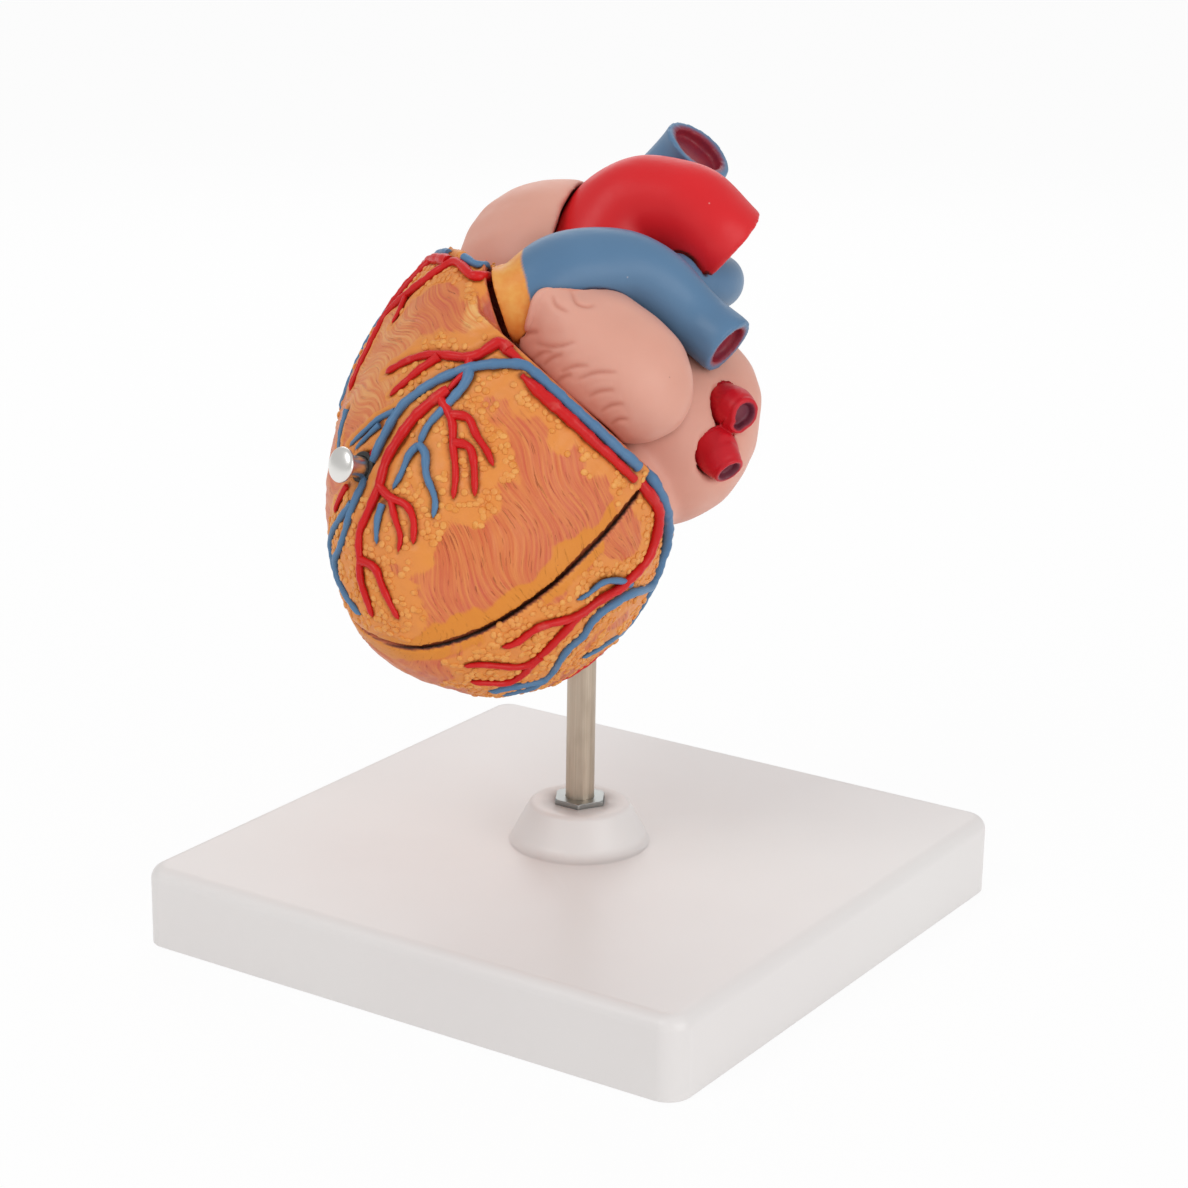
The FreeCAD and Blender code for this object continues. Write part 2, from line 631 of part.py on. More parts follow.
def atria(aorta_form, trunk_outer, stems):
    above = box("above_gap", BIG, BIG, BIG, (-BIG / 2, -BIG / 2, "valve_plane"))
    seam_side = "seam_plane - seam_gap"
    clear = box("front_clear", BIG, BIG, "rest_gap + 1", (seam_side, -BIG / 2, "valve_plane - 1"))
    under = along_root("-2 * root_gap")
    root_room = cylinder("root_room", "root_radius + root_gap", "root_gap * 4", under, ROOT_TURN)

    lean = "rotationz(29.8) * rotationx(13.7)"
    auricle_form = egg("auricle_form", (12.1, 19.7, 13.5), (22, 9.1, "valve_plane + 7.5"), lean)
    low = f"valve_plane - {BIG}"
    behind = box("auricle_back_floor", BIG, BIG, BIG, (f"{seam_side} - {BIG}", -BIG / 2, low))
    aside = f"{SEAT_RIGHT} + rest_gap - {BIG}"
    beside = box("auricle_side_floor", BIG, BIG, BIG, (seam_side, aside, f"{low} + rest_gap"))
    far = f"{seam_side} + {BIG} * cos(seat_fall)"
    slope = (far, -BIG / 2, f"valve_plane + rest_gap - {BIG} * sin(seat_fall)")
    below = box("auricle_floor", BIG, BIG, BIG, slope, "rotationy(180 + seat_fall)")
    auricle = carve(
        "auricle_solid", auricle_form, behind, beside, below, trunk_outer, aorta_form,
        root_room, outflow("conus_clearance", "(-rest_gap)"),
    )
    node("left_auricle", in_heart(auricle))

    left_form = fuse(
        "left_atrium_form",
        egg("left_atrium_main", (19, 19.5, 20.5), (-7, 6.8, "valve_plane + 13.4")),
        egg("left_atrium_back", (14, 16, 14), (-6, 5.6, "valve_plane + 22.2")),
        egg("left_atrium_foot", (15, 15.8, 5.5), (-5, 10.2, "valve_plane + 1")),
    )
    over = common("left_atrium_above", left_form, above)
    left = carve("left_atrium_solid", over, clear, trunk_outer, aorta_form, auricle_form, *stems)
    node("left_atrium", in_heart(left))

    right_form = fuse(
        "right_atrium_form",
        egg("right_atrium_main", (20, 17, 20), (1, -24, "valve_plane + 14")),
        egg("right_auricle_form", (14, 16, 19), (16.5, -30.3, "valve_plane + 17.3")),
    )
    over = common("right_atrium_above", right_form, above)
    line = [tuple(at + shift for at, shift in zip(point, CREASE)) for point in AORTA_LINE[2:]]
    hollow = vessel("arch_hollow", line, ["aorta_radius + rest_gap"] * len(line))
    right = carve(
        "right_atrium_solid", over, clear, root_room, trunk_outer, aorta_form, hollow, left_form, *stems
    )
    node("right_atrium", in_heart(right))
    return left_form, right_form


def caval_veins(right_form, left_form, others):
    upper_form = vessel("upper_caval_form", UPPER_CAVAL, ["caval_radius"] * 4)
    upper = cut(
        "upper_caval_solid", upper_form, right_form, left_form, *others,
        lumen("upper_caval_lumen", UPPER_CAVAL, "caval_radius - caval_wall"),
    )
    node("superior_vena_cava", in_heart(upper))
    lower_form = vessel("lower_caval_form", LOWER_CAVAL, ["lower_caval_radius"] * 3)
    floor = box("below_valves", BIG, BIG, BIG, (-BIG / 2, -BIG / 2, f"valve_plane - {BIG}"))
    lower = cut(
        "lower_caval_solid", lower_form, right_form, left_form, floor,
        lumen("lower_caval_lumen", LOWER_CAVAL, "lower_caval_radius - caval_wall"),
    )
    node("inferior_vena_cava", in_heart(lower))


# Seat on the left atrium and direction of each pulmonary vein.
LEFT_VEINS = (((1.2, 21.8, 24.2), (0.215, 0.972, 0.108)), ((-3.2, 25.9, 15.6), (-0.258, 0.958, -0.124)))
RIGHT_VEINS = (((-17, -7.6, 24.1), (-0.55, -0.8, 0.25)), ((-21.5, -5.6, 12.7), (-0.75, -0.66, -0.04)))


def pulmonary_veins(name, seats):
    """Short domed stubs on the left atrium; each has a blind bore. Returns the stubs without bores."""
    stubs, stems = [], []
    for number, ((x, y, rise), way) in enumerate(seats):
        part = f"{name}_{number}"
        seat = (x, y, f"valve_plane + {rise}")
        shoulder = "(vein_foot * 0.6 + vein_mouth * 0.4)"
        stem = cylinder(part + "_stem", "vein_foot", "vein_root", (0, 0, "-vein_root"))
        swell = cone(part + "_swell", "vein_foot", shoulder, "vein_reach * 0.6")
        rim = cone(part + "_rim", shoulder, "vein_mouth", "vein_reach * 0.4", (0, 0, "vein_reach * 0.6"))
        form = fuse(part + "_form", stem, swell, rim)
        bore = cylinder(part + "_bore", "vein_bore", "vein_recess + 1", (0, 0, "vein_reach - vein_recess"))
        stubs.append(place(cut(part + "_solid", form, bore), seat, aim(way)))
        stems.append(place(group(part + "_whole", form), seat, aim(way)))
    node(name, in_heart(group(name + "_group", *stubs)))
    return stems


# ---------------------------------------------------------------- valves


def slits(name, count, x, y, z, height, width=0.7):
    """Thin radial blades that part a valve into its leaflets."""
    return [
        box(f"{name}_slit_{n}", 20, width, height, (x, y, z), f"rotationz({360 / count * n + 20})")
        for n in range(count)
    ]


def inlet_valve(name, seat, radius, count):
    """A ring in the valve plane with leaflets that hang into the chamber like a funnel."""
    x, y = seat
    drop = "(leaflet_drop + roof)"
    low = f"valve_plane - {drop}"
    outer = cone(name + "_outer", f"{radius} * 0.5", f"{radius} - 0.05", drop, (x, y, low))
    band = cylinder(name + "_band", radius, "roof", (x, y, "valve_plane - roof"))
    inner = cone(name + "_inner", f"{radius} * 0.5 - leaflet", f"{radius} - leaflet - 0.6", drop, (x, y, low))
    blades = slits(name, count, x, y, f"{low} - 1", "leaflet_drop - 1")
    return node(name, in_heart(cut(name + "_solid", fuse(name + "_form", outer, band), inner, *blades)))


def outlet_valve(name, at, turn, radius):
    """Three cusps that close towards the vessel."""
    foot = cylinder(name + "_band", radius, "leaflet * 1.5", at, turn)
    dome = cone(name + "_dome", radius, "leaflet * 1.6", "cusp_rise", at, turn)
    under = cone(name + "_under", f"{radius} - leaflet * 1.4", "leaflet / 2", "cusp_rise", at, turn)
    return cut(name + "_shell", fuse(name + "_form", foot, dome), under)


def valves(root_at):
    inlet_valve("mitral_valve", MITRAL, "mitral_radius", 2)
    inlet_valve("tricuspid_valve", TRICUSPID, "tricuspid_radius", 3)
    x, y = AORTIC
    aortic = outlet_valve("aortic_cusps", (x, y, "valve_plane - 1"), None, "aortic_radius")
    blades = slits("aortic", 3, x, y, "valve_plane + 0.6", 6, 0.4)
    node("aortic_valve", in_heart(cut("aortic_valve_solid", aortic, *blades)))
    pulmonary = outlet_valve("pulmonary_cusps", root_at, ROOT_TURN, "(root_radius - root_wall)")
    node("pulmonary_valve", in_heart(pulmonary))


# Foot and tip of each papillary muscle, and the headings of its cords on the valve's rim.
LEFT_MUSCLES = (
    ((-4, 28.1, -12.4), (-4.5, 19.7, 1.3), (60, 100, 150)),
    ((4, 11.4, -20), (1.5, 12.7, 1.9), (-20, -70, -120)),
)
RIGHT_MUSCLES = (
    ((4, -35.4, -3), (1.5, -25.7, 5.2), (-30, -80, -130)),
    ((-3, -7, -11.5), (-3.5, -18.2, 4.5), (50, 95, 150)),
)
TIP_SHARE = 0.4


def strut(name, start, end, foot, tip):
    """A round bar or cone between two points."""
    run = Vector(*end) - Vector(*start)
    return cone(name, foot, tip, run.Length, start, aim(run))


def papillary_muscles(name, muscles, seat, radius, hollow):
    """Cone-shaped muscles that rise from the chamber's wall, with cords to the leaflets."""
    x, y = (evaluate(formula) for formula in seat)
    rim = evaluate(f"{radius} * 0.5 - leaflet / 2")
    rim_z = evaluate("valve_plane - leaflet_drop - roof - cord_radius")
    grown = []
    for number, (foot, tip, headings) in enumerate(muscles):
        part = f"{name}_{number}"
        parts = [strut(part, foot, tip, "muscle_radius", f"muscle_radius * {TIP_SHARE}")]
        for heading in headings:
            turn = math.radians(heading)
            end = (x + rim * math.cos(turn), y + rim * math.sin(turn), rim_z)
            parts.append(strut(f"{part}_cord_{abs(heading)}", tip, end, "cord_radius", "cord_radius"))
        grown.append(common(part + "_inside", fuse(part + "_form", *parts), hollow))
    node(name, in_heart(group(name + "_group", *grown)))


def evaluate(formula):
    """The value of a formula of the sheet."""
    return sheet.evalExpression(ALIASES.sub(r"Sizes.\1", formula))


def main():
    base_plate()
    rod()
    nut("top_nut", top_nut_foot())
    washer()
    nut("lower_nut", "boss_foot - washer_height - nut_height")
    rod_sleeve()
    form, left, right = hearts()
    rod_socket(form)
    locking_pin()
    aorta_form, trunk_outer, root_at = great_vessels()
    stems = pulmonary_veins("left_pulmonary_veins", LEFT_VEINS)
    stems += pulmonary_veins("right_pulmonary_veins", RIGHT_VEINS)
    left_form, right_form = atria(aorta_form, trunk_outer, stems)
    caval_veins(right_form, left_form, (trunk_outer, aorta_form))
    valves(root_at)
    papillary_muscles("left_papillary_muscles", LEFT_MUSCLES, MITRAL, "mitral_radius", left)
    papillary_muscles("right_papillary_muscles", RIGHT_MUSCLES, TRICUSPID, "tricuspid_radius", right)


main()
doc.recompute()

faulty = [item.Label for item in doc.Objects if {"Invalid", "Error"} & set(item.State)]
assert not faulty, f"failed objects: {faulty}"
os.makedirs("parts", exist_ok=True)
for name, item in nodes.items():
    shape = item.Shape
    assert not shape.isNull() and shape.isValid() and shape.Solids, f"bad shape: {name}"
for name, item in nodes.items():
    item.Shape.exportStep(f"parts/{name}.step")
    print(name, len(item.Shape.Solids), round(item.Shape.Volume, 1), len(item.Shape.Faces))
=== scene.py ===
"""Looks of a human heart teaching model on its stand.

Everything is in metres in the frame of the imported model. Sizes in the tables are millimetres.
Routes on the side that the camera sees are chosen as pixels of the camera's frame, x to the right
and y down. view_plane_point turns them into u and v on the view plane: the plane through the aim
point, square to the line of sight, with u to the right and v up. They are laid on the heart along
rays from the eye. Routes on the hidden side are given as heading and height in the heart's own
frame: x towards the removable front wall, y towards the left ventricle, z from apex to vessels.
"""
import json
import math

import bmesh
import bpy
import numpy as np
from mathutils import Matrix, Vector
from mathutils.bvhtree import BVHTree
from mathutils.kdtree import KDTree


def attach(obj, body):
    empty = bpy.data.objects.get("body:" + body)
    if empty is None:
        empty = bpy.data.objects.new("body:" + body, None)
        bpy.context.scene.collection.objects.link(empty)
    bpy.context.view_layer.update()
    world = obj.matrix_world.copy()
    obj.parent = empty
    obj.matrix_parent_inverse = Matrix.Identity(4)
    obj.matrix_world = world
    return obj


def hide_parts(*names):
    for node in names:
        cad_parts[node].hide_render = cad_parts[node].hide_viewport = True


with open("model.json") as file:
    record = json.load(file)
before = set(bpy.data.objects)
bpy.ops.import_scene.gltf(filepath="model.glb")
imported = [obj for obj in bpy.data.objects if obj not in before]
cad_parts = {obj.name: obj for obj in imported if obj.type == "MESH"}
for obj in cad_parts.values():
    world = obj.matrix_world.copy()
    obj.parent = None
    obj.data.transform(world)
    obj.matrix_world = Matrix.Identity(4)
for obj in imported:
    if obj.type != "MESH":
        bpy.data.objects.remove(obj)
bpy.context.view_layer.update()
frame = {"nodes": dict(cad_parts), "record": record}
MM = 0.001
BODY_OF = {
    node: body
    for body, nodes in frame["record"]["behaviour"]["bodies"].items()
    for node in nodes
}

# ---------------------------------------------------------------- line of sight and heart frame

AIM = Vector((0, 0, 0.060))
AZIMUTH = math.radians(33.32)
ELEVATION = math.radians(18.12)
ROLL = math.radians(0.891)
DISTANCE = 0.61654
LENS = 90.28
SENSOR = 36
SHIFT = (0.00992, 0.04316)
FRAME_PIXELS = 1188

BACK = Vector((
    math.sin(AZIMUTH) * math.cos(ELEVATION),
    -math.cos(AZIMUTH) * math.cos(ELEVATION),
    math.sin(ELEVATION),
))
RIGHT = Vector((math.cos(AZIMUTH), math.sin(AZIMUTH), 0))
UP = BACK.cross(RIGHT)
EYE = AIM + BACK * DISTANCE

HEART_AT = np.array((-17.5, -13.1, 88.0))
HEART_TURN = np.array(
    Matrix.Rotation(math.radians(-32.8), 3, "Z")
    @ Matrix.Rotation(math.radians(-56.2), 3, "X")
    @ Matrix.Rotation(math.radians(-66.5), 3, "Z")
)
VALVE_PLANE = 28.0
SEAM_PLANE = 13.3
SEAT_FALL = math.radians(14.3)
WIDE_PLANE = 12.2
APEX_REACH = 47.5
WIDEST = 39.8
FULLNESS = 0.58
ROOT_AT = np.array((35.1, -9.5, 26.8))
ROOT_WAY = np.array((-0.0087, 0.4999, 0.866))
ROOT_WALL = 2
SEAT_RIGHT = -0.9
PIN_TILT = math.radians(37.4)


def view_plane_point(x, y):
    """A pixel of the camera's frame as u and v, to a tenth of a millimetre."""
    scale = SENSOR / LENS * DISTANCE / MM
    right = (x / FRAME_PIXELS - 0.5 + SHIFT[0]) * scale
    up = (0.5 - y / FRAME_PIXELS + SHIFT[1]) * scale
    u = right * math.cos(ROLL) - up * math.sin(ROLL)
    v = right * math.sin(ROLL) + up * math.cos(ROLL)
    return round(u, 1), round(v, 1)


def to_heart(points):
    """Points in metres to the heart frame in millimetres."""
    return (np.asarray(points) / MM - HEART_AT) @ HEART_TURN


def from_heart(points):
    """Points of the heart frame in millimetres to metres."""
    return (np.asarray(points, float) @ HEART_TURN.T + HEART_AT) * MM


def form_middle(share):
    """Where the middle of a section lies, by its share of the way from the widest section to the apex."""
    x = 3.33 - 8.1 * share + 14.56 * share ** 2
    y = -2.45 + 11.45 * share + 7.09 * share ** 2
    return x, y


def depth_below_form(local):
    """How far points lie inside the egg of the ventricles, and their share of the way to the apex."""
    share = (WIDE_PLANE - local[:, 2]) / APEX_REACH
    x, y = form_middle(share)
    radius = WIDEST * np.clip(1 - share ** 2, 0.0001, None) ** FULLNESS
    return radius - np.hypot(local[:, 0] - x, local[:, 1] - y), share


def depth_below_top(local, front):
    """How far points lie below a half's flat top; the front wall's slopes down to its outer side."""
    if not front:
        return VALVE_PLANE - local[..., 2]
    seat = VALVE_PLANE - np.clip(local[..., 0] - SEAM_PLANE, 0, None) * math.tan(SEAT_FALL)
    across = (local[..., 0] - ROOT_AT[0]) * ROOT_WAY[0] + (local[..., 1] - ROOT_AT[1]) * ROOT_WAY[1]
    rim = np.clip(ROOT_AT[2] - (ROOT_WALL + across) / ROOT_WAY[2], seat, VALVE_PLANE)
    return np.where(local[..., 1] > SEAT_RIGHT, seat, rim) - local[..., 2]


# ---------------------------------------------------------------- node graphs


class Value:
    """A socket that takes part in Python expressions; each operator adds a Math node."""

    def __init__(self, graph, socket):
        self.graph = graph
        self.socket = socket

    def maths(self, operation, first, second):
        return self.graph.node("ShaderNodeMath", {"operation": operation}, {0: first, 1: second})

    def __add__(self, other):
        return self.maths("ADD", self, other)

    def __radd__(self, other):
        return self.maths("ADD", other, self)

    def __sub__(self, other):
        return self.maths("SUBTRACT", self, other)

    def __rsub__(self, other):
        return self.maths("SUBTRACT", other, self)

    def __mul__(self, other):
        return self.maths("MULTIPLY", self, other)

    def __rmul__(self, other):
        return self.maths("MULTIPLY", other, self)


class Graph:
    """A node tree under construction."""

    def __init__(self, tree):
        self.tree = tree

    def node(self, kind, settings, sockets, out=0):
        """Adds a node with its settings and the values or links of its sockets."""
        made = self.tree.nodes.new(kind)
        for name, value in (settings or {}).items():
            if name == "stops":
                self.set_stops(made.color_ramp, value)
            else:
                setattr(made, name, value)
        for name, value in (sockets or {}).items():
            if isinstance(value, Value):
                self.tree.links.new(value.socket, made.inputs[name])
            else:
                made.inputs[name].default_value = value
        return Value(self, made.outputs[out])

    def set_stops(self, ramp, stops):
        for element, (place, level) in zip(ramp.elements, stops):
            element.position = place
            element.color = (level, level, level, 1)

    def noise(self, vector, scale, detail, roughness):
        sockets = {"Vector": vector, "Scale": scale, "Detail": detail, "Roughness": roughness}
        return self.node("ShaderNodeTexNoise", None, sockets)

    def ramp(self, value, low, high):
        """0 at low and 1 at high, straight between; the ends may be given either way round."""
        return self.node("ShaderNodeValToRGB", {"stops": sorted([(low, 0), (high, 1)])}, {0: value})

    def attribute(self, name, out="Fac"):
        return self.node("ShaderNodeAttribute", {"attribute_name": name}, None, out)

    def blend(self, share, first, second):
        return self.node("ShaderNodeMix", {"data_type": "RGBA"}, {0: share, 6: first, 7: second}, 2)

    def stretch(self, vector, *factors):
        return self.node("ShaderNodeVectorMath", {"operation": "MULTIPLY"}, {0: vector, 1: factors})

    def bump(self, height, distance, strength, below=None):
        sockets = {"Height": height, "Distance": distance, "Strength": strength}
        if below:
            sockets["Normal"] = below
        return self.node("ShaderNodeBump", None, sockets)


def paint_rgb(red, green, blue):
    """A colour as 8-bit values, turned to the linear values of the shader."""
    levels = [channel / 255 for channel in (red, green, blue)]
    return tuple(c / 12.92 if c < 0.04045 else ((c + 0.055) / 1.055) ** 2.4 for c in levels) + (1,)


def new_material(name):
    """An empty material, its graph, its Principled shader and the Object coordinates."""
    material = bpy.data.materials.new(name)
    material.use_nodes = True
    graph = Graph(material.node_tree)
    shader = material.node_tree.nodes["Principled BSDF"]
    place = graph.node("ShaderNodeTexCoord", None, None, "Object")
    return material, graph, shader, place


def feed(graph, shader, **links):
    """Links values to the shader's sockets; underscores in names stand for spaces."""
    for name, value in links.items():
        socket = shader.inputs[name.replace("_", " ")]
        if isinstance(value, Value):
            graph.tree.links.new(value.socket, socket)
        else:
            socket.default_value = value


# ---------------------------------------------------------------- finishes

ORANGE = paint_rgb(226, 140, 78)
MUSCLE = paint_rgb(206, 96, 58)
MUSCLE_ROSE = paint_rgb(206, 98, 72)
FIBRE_DARK = paint_rgb(148, 58, 34)
FAT = paint_rgb(228, 144, 66)
MARGIN = paint_rgb(222, 138, 44)
PALE_FAT = paint_rgb(238, 186, 116)
# Painted shade in the crevices beside the vessels.
CREVICE_SHADE = paint_rgb(136, 66, 20)
# Painted shade, near-black, in the seam between the halves.
SEAM_SHADE = paint_rgb(38, 18, 10)
LINING = paint_rgb(190, 92, 70)
CUT_MUSCLE = paint_rgb(196, 88, 66)
ARTERY_RED = paint_rgb(212, 22, 24)
VEIN_BLUE = paint_rgb(88, 128, 166)
AORTA_RED = paint_rgb(224, 36, 42)
TRUNK_BLUE = paint_rgb(92, 128, 162)
VEIN_RED = paint_rgb(210, 24, 38)
LUMEN_RED = paint_rgb(146, 40, 54)
ROOT_ORANGE = paint_rgb(228, 146, 66)
ATRIUM_PINK = paint_rgb(226, 168, 150)
ATRIUM_SHADE = paint_rgb(186, 108, 88)
# Painted shade where pieces meet.
CONTACT_SHADE = paint_rgb(70, 32, 26)
# All painted pieces shine alike.
SHEEN = {"Specular_IOR_Level": 0.3}


def heart_wall_paint():
    """Hand-painted ventricles: striated muscle, smooth ochre margins and yellow fat, with painted shade
    beside the vessels and in the seam.
    """
    material, graph, shader, place = new_material("ventricle_paint")
    fat = graph.attribute("fat")
    margin = graph.attribute("margin")
    inside = graph.attribute("inside")
    cut = graph.attribute("cut")
    crevice = graph.attribute("crevice")
    pale = graph.attribute("pale")
    rim = graph.attribute("rim")
    fibre = graph.attribute("fibre", "Vector")

    streaks = graph.noise(graph.stretch(fibre, 1700, 95, 95), 1.0, 3, 0.6)
    lines = graph.ramp(graph.noise(graph.stretch(fibre, 3000, 230, 230), 1.0, 2, 0.5), 0.35, 0.3)
    broad = graph.noise(place, 55, 3, 0.6)
    patches = graph.noise(place, 160, 3, 0.6)

    muscle = graph.blend(graph.ramp(broad, 0.38, 0.62), MUSCLE, MUSCLE_ROSE)
    muscle = graph.blend(graph.ramp(streaks, 0.3, 0.68) * 0.85, muscle, ORANGE)
    muscle = graph.blend(lines * 0.4, muscle, FIBRE_DARK)
    plain = graph.blend(graph.ramp(patches, 0.35, 0.7) * 0.6, FAT, ORANGE)
    brushed = graph.ramp(fat + (streaks - 0.5) * 0.7, 0.3, 0.7)
    outside = graph.blend(brushed, muscle, plain)
    outside = graph.blend(graph.ramp(margin + (streaks - 0.5) * 0.5, 0.3, 0.75) * 0.9, outside, MARGIN)
    light = graph.blend(graph.ramp(streaks, 0.4, 0.62), ORANGE, PALE_FAT)
    outside = graph.blend(pale * 0.85, outside, light)
    # Painted shade in the crevices where the vessels meet the wall.
    outside = graph.blend(crevice * 0.85, outside, CREVICE_SHADE)
    hollow = graph.blend(graph.ramp(broad, 0.3, 0.7) * 0.6, LINING, MUSCLE_ROSE)
    colour = graph.blend(inside, outside, hollow)
    colour = graph.blend(cut, colour, graph.blend(patches * 0.6, CUT_MUSCLE, ORANGE))
    specks = graph.node("ShaderNodeTexVoronoi", None, {"Vector": place, "Scale": 210.0})
    colour = graph.blend(graph.ramp(specks, 0.04, 0.025) * 0.5, colour, FIBRE_DARK)
    # Painted shade, near-black, along the seam between the halves (the rim attribute).
    colour = graph.blend(rim, colour, SEAM_SHADE)

    grain = streaks * (1 - fat * 0.8) * (1 - margin * 0.8) - lines * (1 - fat)
    normal = graph.bump(grain, 0.00026, 0.7)
    normal = graph.bump(graph.noise(place, 1400, 2, 0.5), 0.00006, 0.6, normal)
    feed(graph, shader, Base_Color=colour, Normal=normal, Roughness=0.34 + 0.14 * patches, **SHEEN)
    return material


def lobule_paint():
    """Yellow fat: each pearl a little lighter or deeper than the next."""
    material, graph, shader, place = new_material("fat_paint")
    tone = graph.noise(place, 420, 1, 0.5)
    broad = graph.noise(place, 70, 2, 0.5)
    colour = graph.blend(graph.ramp(tone, 0.35, 0.65), paint_rgb(224, 142, 62), paint_rgb(235, 166, 88))
    colour = graph.blend(graph.ramp(broad, 0.45, 0.7) * 0.5, colour, ORANGE)
    normal = graph.bump(tone, 0.0001, 0.5)
    feed(graph, shader, Base_Color=colour, Normal=normal, Roughness=0.34 + 0.12 * tone, **SHEEN)
    return material


def vessel_paint(name, colour, deep, roughness=0.3):
    """Satin enamel with the slight unevenness of a brushed coat."""
    material, graph, shader, place = new_material(name)
    coat = graph.noise(place, 240, 3, 0.6)
    broad = graph.noise(place, 60, 2, 0.5)
    tone = graph.blend(graph.ramp(broad, 0.35, 0.7) * 0.45, colour, deep)
    tone = graph.blend(graph.ramp(coat, 0.62, 0.8) * 0.12, tone, paint_rgb(240, 205, 180))
    normal = graph.bump(coat, 0.00012, 0.6)
    feed(graph, shader, Base_Color=tone, Normal=normal, Roughness=roughness + 0.12 * coat, **SHEEN)
    return material


def great_vessel_paint(name, colour, deep, lumen=LUMEN_RED):
    """Satin paint, with the dark recess of a cut end and, on the trunk, the ochre root."""
    material, graph, shader, place = new_material(name)
    coat = graph.noise(place, 300, 3, 0.6)
    broad = graph.noise(place, 38, 2, 0.5)
    tone = graph.blend(graph.ramp(broad, 0.35, 0.7) * 0.5, colour, deep)
    recess = graph.blend(graph.ramp(coat, 0.35, 0.7) * 0.6, lumen, paint_rgb(112, 44, 66))
    root = graph.blend(graph.ramp(coat, 0.4, 0.7) * 0.6, ROOT_ORANGE, paint_rgb(236, 182, 96))
    tone = graph.blend(graph.attribute("root"), tone, root)
    # Painted shade where the vessel meets its neighbours; the fold attribute carries it.
    tone = graph.blend(graph.attribute("fold"), tone, CONTACT_SHADE)
    tone = graph.blend(graph.attribute("lumen"), tone, recess)
    dust = graph.node("ShaderNodeTexVoronoi", None, {"Vector": place, "Scale": 170.0})
    tone = graph.blend(graph.ramp(dust, 0.04, 0.02) * 0.3, tone, paint_rgb(235, 215, 205))
    relief = graph.bump(graph.noise(place, 90, 2, 0.5), 0.0007, 0.5)
    normal = graph.bump(coat, 0.00010, 0.5, relief)
    feed(graph, shader, Base_Color=tone, Normal=normal, Roughness=0.32 + 0.14 * coat, **SHEEN)
    return material


def atrium_paint():
    """Pale pink skin colour, with painted shade in the folds and where it meets its neighbours."""
    material, graph, shader, place = new_material("atrium_paint")
    broad = graph.noise(place, 42, 3, 0.55)
    fine = graph.noise(place, 520, 3, 0.6)
    tone = graph.blend(graph.ramp(broad, 0.35, 0.72) * 0.55, ATRIUM_PINK, paint_rgb(216, 152, 132))
    tone = graph.blend(graph.attribute("fold") * 0.55, tone, ATRIUM_SHADE)
    # Painted shade where the chamber meets its neighbours.
    tone = graph.blend(graph.attribute("border"), tone, CONTACT_SHADE)
    specks = graph.node("ShaderNodeTexVoronoi", None, {"Vector": place, "Scale": 120.0})
    tone = graph.blend(graph.ramp(specks, 0.026, 0.016) * 0.4, tone, paint_rgb(120, 70, 60))
    normal = graph.bump(graph.noise(place, 110, 2, 0.5), 0.0006, 0.5)
    normal = graph.bump(fine, 0.00008, 0.5, normal)
    feed(graph, shader, Base_Color=tone, Normal=normal, Roughness=0.38 + 0.14 * fine, **SHEEN)
    feed(graph, shader, Subsurface_Weight=0.08, Subsurface_Radius=(0.002, 0.0009, 0.0006))
    return material


def plain_paint(name, colour, deep, roughness, scale=300.0, bump=0.00008, metal=0.0):
    """A plain moulded, plated or turned surface with its slight unevenness."""
    material, graph, shader, place = new_material(name)
    fine = graph.noise(place, scale, 3, 0.6)
    broad = graph.noise(place, scale / 8, 2, 0.5)
    tone = graph.blend(graph.ramp(broad, 0.3, 0.75) * 0.6, colour, deep)
    normal = graph.bump(fine, bump, 0.5)
    rough = roughness + 0.1 * (fine - 0.5)
    feed(graph, shader, Base_Color=tone, Normal=normal, Roughness=rough, Metallic=metal)
    return material


def drawn_steel():
    """Bright rod with fine drawing lines along its length and a few darker stains."""
    material, graph, shader, place = new_material("drawn_steel")
    lines = graph.noise(graph.stretch(place, 2600, 2600, 40), 1.0, 3, 0.6)
    stains = graph.noise(graph.stretch(place, 160, 160, 60), 1.0, 3, 0.6)
    tone = graph.blend(lines, paint_rgb(170, 152, 134), paint_rgb(212, 198, 180))
    tone = graph.blend(graph.ramp(stains, 0.5, 0.75) * 0.5, tone, paint_rgb(148, 130, 112))
    normal = graph.bump(lines, 0.00008, 0.6)
    feed(graph, shader, Base_Color=tone, Normal=normal, Roughness=0.3 + 0.2 * lines, Metallic=0.9)
    return material


# ---------------------------------------------------------------- meshes


def merged_copy(node, name=None):
    """A new object with the CAD node's mesh as one closed skin."""
    mesh = bpy.data.meshes.new(name or node + "_skin")
    work = bmesh.new()
    work.from_mesh(frame["nodes"][node].data)
    bmesh.ops.remove_doubles(work, verts=work.verts, dist=2e-6)
    bmesh.ops.recalc_face_normals(work, faces=work.faces)
    work.to_mesh(mesh)
    work.free()
    piece = bpy.data.objects.new(name or node + "_skin", mesh)
    bpy.context.scene.collection.objects.link(piece)
    return piece


def baked(piece):
    """Turns an object's modifiers into its mesh."""
    bpy.context.view_layer.update()
    evaluated = piece.evaluated_get(bpy.context.evaluated_depsgraph_get())
    mesh = bpy.data.meshes.new_from_object(evaluated)
    piece.modifiers.clear()
    piece.data = mesh
    return piece


def remeshed(piece, voxel):
    """A fresh even skin, fine enough to be sculpted."""
    modifier = piece.modifiers.new("even_skin", "REMESH")
    modifier.mode = "VOXEL"
    modifier.voxel_size = voxel
    modifier.adaptivity = 0
    return baked(piece)


def vertex_array(mesh):
    flat = np.empty(len(mesh.vertices) * 3)
    mesh.vertices.foreach_get("co", flat)
    return flat.reshape(-1, 3)


def normal_array(mesh):
    flat = np.empty(len(mesh.vertices) * 3, dtype=np.float32)
    mesh.vertex_normals.foreach_get("vector", flat)
    return flat.reshape(-1, 3).astype(float)


def set_vertices(mesh, points):
    mesh.vertices.foreach_set("co", np.ascontiguousarray(points, dtype=np.float32).ravel())
    mesh.update()


